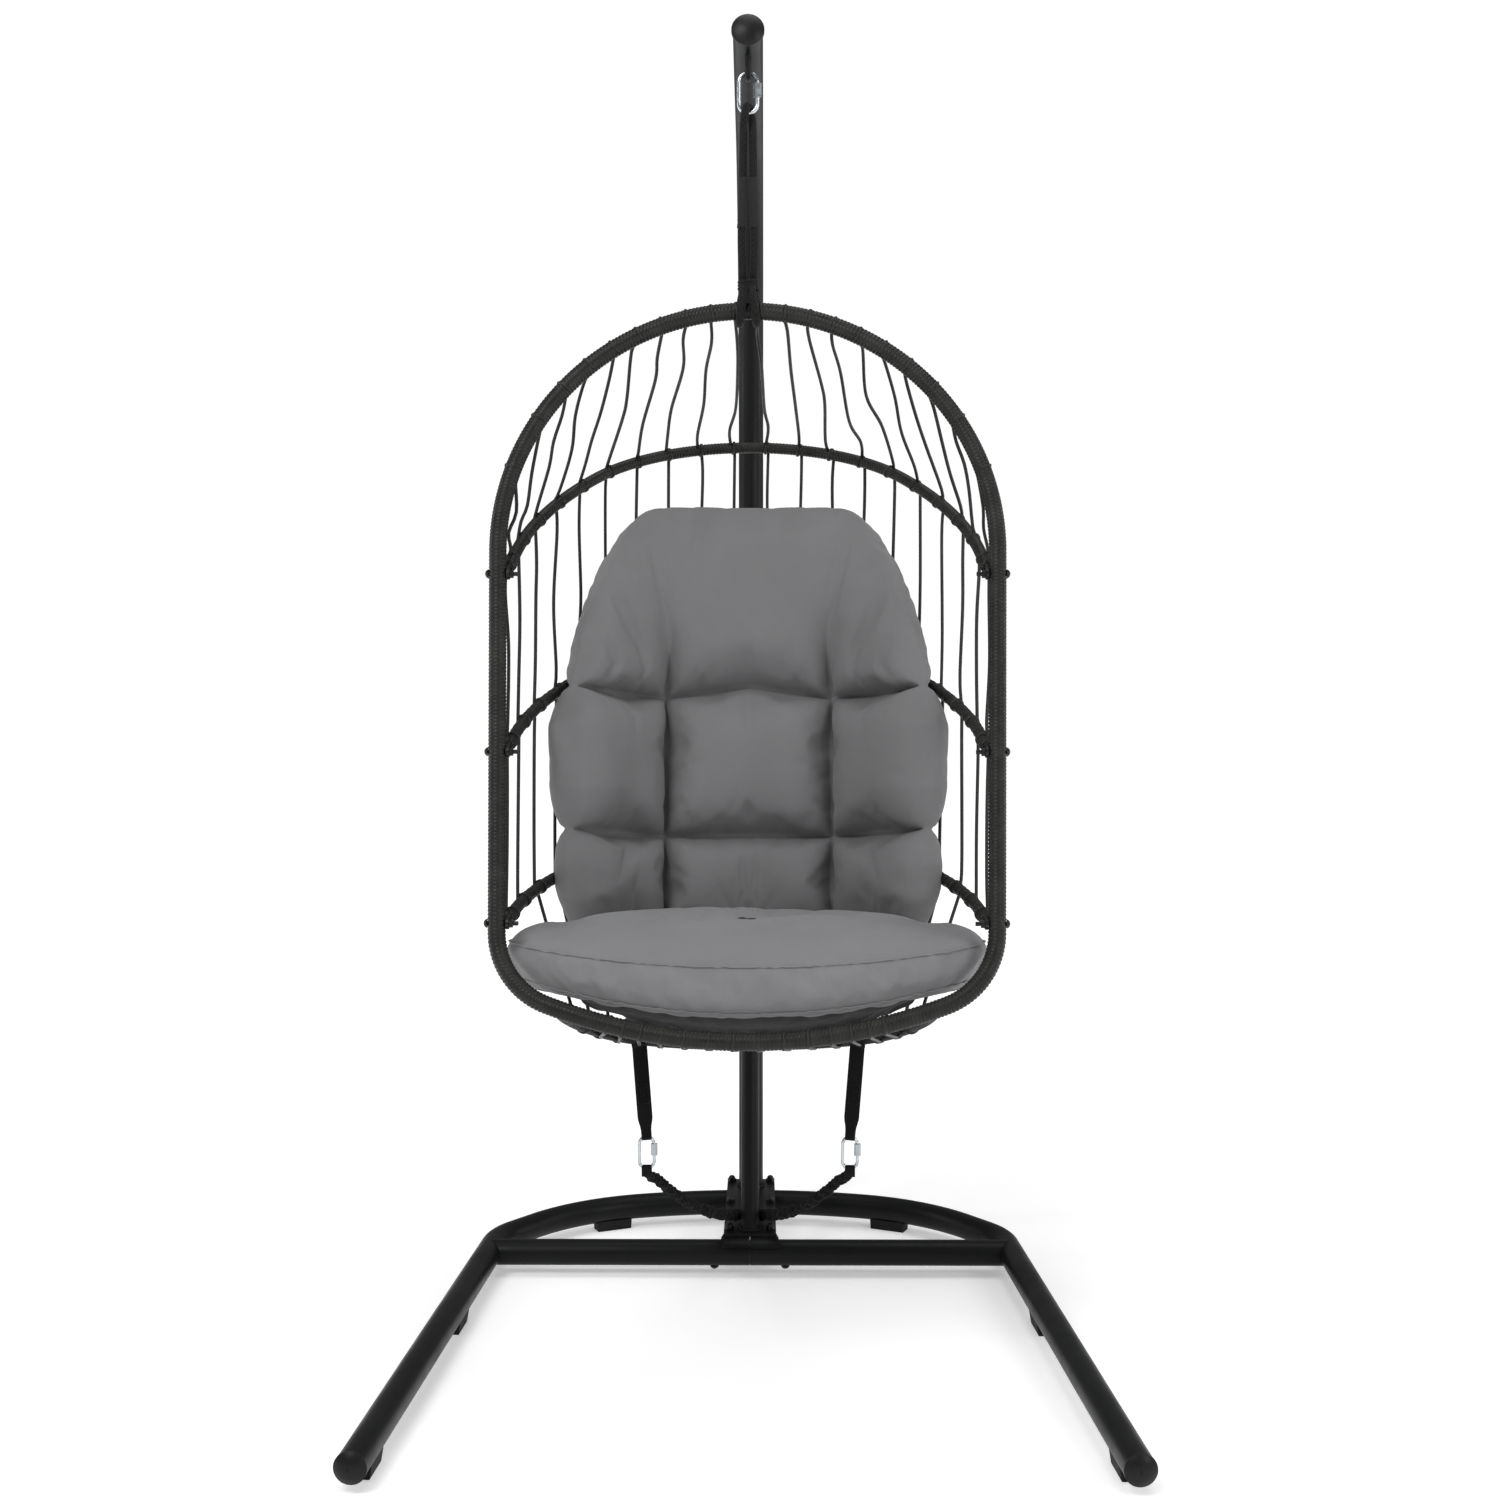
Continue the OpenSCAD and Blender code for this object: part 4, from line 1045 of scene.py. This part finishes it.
def add_ropes():
    """One rope over the top link's lower bar, whose two ends hitch round the loop and are seized above it."""
    rope_r = 0.0058
    top = np.array([0, EYE_Y, ROD_Z])
    loop_top = np.array([0, EYE_Y, LOOP_TOP_Z])
    half = [
        top + [0.0000, 0.0000, 0.0092],
        top + [0.0022, 0.0052, 0.0070],
        top + [0.0045, 0.0082, -0.0020],
        top + [0.0062, 0.0050, -0.0160],
        top + [0.0066, 0.0010, -0.0340],
        top + [0.0076, 0.0000, -0.0900],
        top + [0.0092, 0.0000, -0.1700],
        loop_top + [0.0080, 0.0020, 0.0520],
        loop_top + [0.0072, 0.0090, 0.0330],
        loop_top + [0.0110, 0.0160, 0.0120],
        loop_top + [0.0125, 0.0180, -0.0010],
        loop_top + [0.0125, 0.0130, -0.0125],
        loop_top + [0.0122, 0.0000, -0.0180],
        loop_top + [0.0115, -0.0130, -0.0125],
        loop_top + [0.0100, -0.0180, 0.0000],
        loop_top + [0.0075, -0.0160, 0.0130],
        loop_top + [0.0060, -0.0105, 0.0250],
        loop_top + [0.0045, -0.0085, 0.0340],
    ]
    right = spline(half, 0.004)
    left = right * [-1, 1, 1]
    bend = smooth((right[:, 2] - LOOP_TOP_Z - 0.06) / 0.06)  # crosses over at the top only
    left[:, 1] = right[:, 1] * (1 - bend) + (2 * EYE_Y - right[:, 1]) * bend
    path = np.vstack([left[::-1], right[1:]])
    shape = Shape()
    shape.sweep(path, rope_r, 16)
    rope = shape.piece("sling_rope", [MATERIALS["rope"]])
    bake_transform(rope)
    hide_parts("sling_ropes")

    turns, pitch = 3, 0.0046
    t = np.linspace(0, turns, turns * 20 + 1)
    around = 2 * math.pi * t
    wide, deep = 0.0128, 0.0100
    seizing = np.column_stack(
        [wide * np.cos(around), EYE_Y - 0.0015 + deep * np.sin(around), LOOP_TOP_Z + 0.0285 + pitch * t]
    )
    shape = Shape()
    shape.sweep(seizing, 0.0025, 8)
    knot = shape.piece("sling_seizing", [MATERIALS["rope"]], "basket")

    shape = Shape()
    for side in (-1, 1):
        along = np.linspace(0, 1, 36)
        z = ROD_Z - 0.089 - 0.070 * along
        x = side * (0.0074 + 0.0016 * along)
        lip = 0.0005 * (np.exp(-along / 0.03) + np.exp(-(1 - along) / 0.03))
        wrinkle = 0.00018 * np.sin(along * 47) + 0.00012 * np.sin(along * 83 + side)
        shape.sweep(np.column_stack([x, np.full(36, EYE_Y), z]), rope_r + 0.0007 + lip + wrinkle, 20)
    bands = shape.piece("rope_covers", [MATERIALS["rope_band"]], "sling")
    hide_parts("rope_sleeves")


add_ropes()

# ---------------------------------------------------------------- safety strap

STRAP_X = 0.162
LINK_X, LINK_Y, LINK_Z = 0.150, CROSSBAR_Y - 0.330, 0.292
LINK_TOP_ROD = LINK_Z + 0.026 - 0.0025
LINK_LOW_ROD = LINK_Z - 0.026 + 0.0025
LINK_BEND = 0.0042  # radius of the webbing's bend round a link's rod
WEB_W, WEB_T = 0.022, 0.0017
WEB_GAP = 0.00176  # from the middle of the doubled webbing to the middle of a layer


def stitches(shape, places, normal, radius=0.00045, length=0.0026):
    """Short raised threads along lines. places is a list of (start, end)."""
    for a, b in places:
        a, b = np.array(a), np.array(b)
        count = max(2, round(np.linalg.norm(b - a) / (length * 1.5)))
        along = unit(b - a)
        for k in range(count):
            mid = a + (b - a) * (k + 0.5) / count
            t = np.linspace(-1, 1, 5)[:, None]
            path = mid + along * t * length / 2 + np.asarray(normal) * radius * (1 - t**2)
            shape.sweep(path, radius, 6, part=1)


def add_webbing(side, word):
    """Flat webbing, hitched round the seat hoop, doubled down to the link and box stitched."""
    hoop = HOOPS[3]
    centre = hoop.point(side * STRAP_X)
    tube = hoop.tangent(side * STRAP_X)
    link_top = np.array([side * LINK_X, LINK_Y, LINK_TOP_ROD])
    length = np.linalg.norm(link_top - centre)
    down = unit(link_top - centre)
    fore, width = across(down, np.array([0, -1.0, 0]))
    width *= math.copysign(1, width[0])
    tube *= math.copysign(1, tube[0])
    path, ups, widths = [], [], []

    def put(point, up, wide):
        path.append(point)
        ups.append(up)
        widths.append(wide)

    def layer(shares, offset, bow=0.0):
        """One layer between the hoop and the link, which narrows towards the link."""
        for t in shares:
            spot = centre + down * length * t + fore * (offset + bow * math.sin(math.pi * t))
            put(spot, width, WEB_W * (1 - 0.30 * smooth((t - 0.80) / 0.13)))

    layer(np.linspace(0.62, 0.10, 12), -WEB_GAP)
    for angle in np.radians(np.linspace(10, 350, 26)):
        spot = centre + (hoop.radius + 0.0022) * (math.cos(angle) * down - math.sin(angle) * fore)
        put(spot, unit(width + tube), 0.0225)
    layer(np.linspace(0.10, 0.93, 22), WEB_GAP, 0.0015)
    for angle in np.radians(np.linspace(0, 180, 12)):
        put(link_top + LINK_BEND * (math.cos(angle) * fore + math.sin(angle) * down), width, 0.0148)
    layer(np.linspace(0.93, 0.55, 10), -WEB_GAP)
    shape = Shape()
    shape.strip(np.array(path), np.array(widths), WEB_T, np.array(ups))
    face = centre + fore * (WEB_GAP + 0.0026)
    (a, b), (c, d) = [[face + down * length * t + width * x for x in (-0.0075, 0.0075)] for t in (0.66, 0.46)]
    stitches(shape, [(a, b), (c, d), (a, c), (b, d), (a, d), (b, c)], fore)
    strap = shape.piece(f"strap_web_{word}", [MATERIALS["webbing"], MATERIALS["thread"]])
    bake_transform(strap)
    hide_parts(f"strap_webbing_{word}")


TAIL_ROUTE = [
    (150, -330, 262), (147, -312, 252), (136, -280, 236), (118, -235, 206), (97, -172, 170), (76, -110, 140),
]  # fmt: skip
MIDDLE_ROUTE = [(75, -107, 139), (60, -55, 118), (45, -5, 100), (30, 38, 86), (15, 66, 78), (0, 74, 76)]


def gathered(path, radius, depth, pitch, seed):
    """Radii of a tube of cloth gathered over elastic: uneven ruffles round and along it."""
    rows, sides = len(path), 24
    run, angle = run_along(path)[:, None], full_turn(sides)[None]
    chance = np.random.default_rng(seed)
    level = np.zeros((rows, sides))
    for k in (1, 1.37, 2.2):
        shift = chance.uniform(0, 6.28, 3)
        bend = 0.9 * np.sin(angle + shift[0]) + 0.6 * np.sin(2 * angle + shift[1])
        level += np.sin(2 * math.pi * k * run / pitch + bend * 1.6 + shift[2]) / (1.5 * k)
    return radius - depth + depth * level, sides


def mm_route(route):
    return np.array(route) / 1000 + [0, CROSSBAR_Y, 0]


def add_tail(side, word):
    """Gathered sleeve from the link to the middle piece, ending in a webbing loop through the link."""
    path = spline(mm_route(TAIL_ROUTE) * [side, 1, 1], 0.0016)
    radii, sides = gathered(path, 0.0084, 0.0026, 0.0115, 3 + side)
    share = np.linspace(0, 1, len(path))[:, None]
    radii = radii * (0.62 + 0.38 * smooth(share / 0.12)) * (0.86 + 0.14 * smooth((1 - share) / 0.08))
    shape = Shape()
    shape.sweep(path, radii, sides)
    low = np.array([side * LINK_X, LINK_Y, LINK_LOW_ROD])
    start = path[0]
    down = unit(start - low)
    fore, _ = across(down, np.array([0, -1.0, 0]))
    loop = [start + down * 0.006 + fore * 0.0018]
    for a in np.radians(np.linspace(0, 180, 12)):
        loop.append(low + LINK_BEND * (math.cos(a) * fore - math.sin(a) * down))
    loop.append(start + down * 0.006 - fore * 0.0018)
    shape.strip(np.array(loop), 0.0150, WEB_T, np.array([1.0, 0, 0]), part=1)
    tail = shape.piece(f"strap_gather_{word}", [MATERIALS["elastic"], MATERIALS["webbing"]])
    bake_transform(tail)
    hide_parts(f"strap_tail_{word}")


def add_elastic():
    route = MIDDLE_ROUTE + [(-x, y, z) for x, y, z in MIDDLE_ROUTE[-2::-1]]
    path = spline(mm_route(route), 0.0016)
    radii, sides = gathered(path, 0.0096, 0.0028, 0.0115, 11)
    shape = Shape()
    shape.sweep(path, radii, sides)
    band = shape.piece("strap_gather_middle", [MATERIALS["elastic"]])
    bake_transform(band)
    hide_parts("strap_elastic")


for sign, word in ((-1, "left"), (1, "right")):
    add_webbing(sign, word)
    add_tail(sign, word)
add_elastic()

# ---------------------------------------------------------------- welds


WELD_STEP, WELD_RIPPLE = 0.0007, 0.0032


def weld(name, path, size):
    """A painted weld bead round a joint, with its ripples."""
    points, _ = resample(path, round(resample(path, 2, True)[1] / WELD_STEP), True)
    ripple = 1 + 0.16 * np.abs(np.sin(np.arange(len(points)) * WELD_STEP * math.pi / WELD_RIPPLE))
    shape = Shape()
    shape.sweep(points, size * ripple, 8, closed=True)
    bead = shape.piece(name, [MATERIALS["stand_paint"]], "stand")


def circle(centre, radius):
    angle = full_turn(120)
    return np.column_stack([radius * np.cos(angle), radius * np.sin(angle), 0 * angle]) + centre


def add_welds():
    weld("weld_pole_foot", circle([0, POLE_Y, PLATE_TOP_Z + 0.0012], TUBE_R + 0.0008), 0.0024)
    foot = np.array([0, CROSSBAR_Y + 0.029, PLATE_TOP_Z])
    top = np.array([0, POLE_Y, 1.0])
    lean = math.atan2(top[1] - foot[1], top[2] - foot[2])
    ring = circle([0, 0, 0], 0.0156)
    ring[:, 1] /= math.cos(lean)
    weld("weld_brace_foot", ring + foot + [0, 0, 0.0012], 0.0024)
    along = unit(top - foot)
    over = np.cross(along, [1.0, 0, 0])
    saddle = []
    for a in full_turn(140):
        spot = foot + 0.0154 * (math.cos(a) * np.array([1.0, 0, 0]) + math.sin(a) * over)
        reach = POLE_Y - math.sqrt((TUBE_R + 0.0006) ** 2 - spot[0] ** 2)
        saddle.append(spot + along * (reach - spot[1]) / along[1])
    weld("weld_brace_top", np.array(saddle), 0.0022)


add_welds()
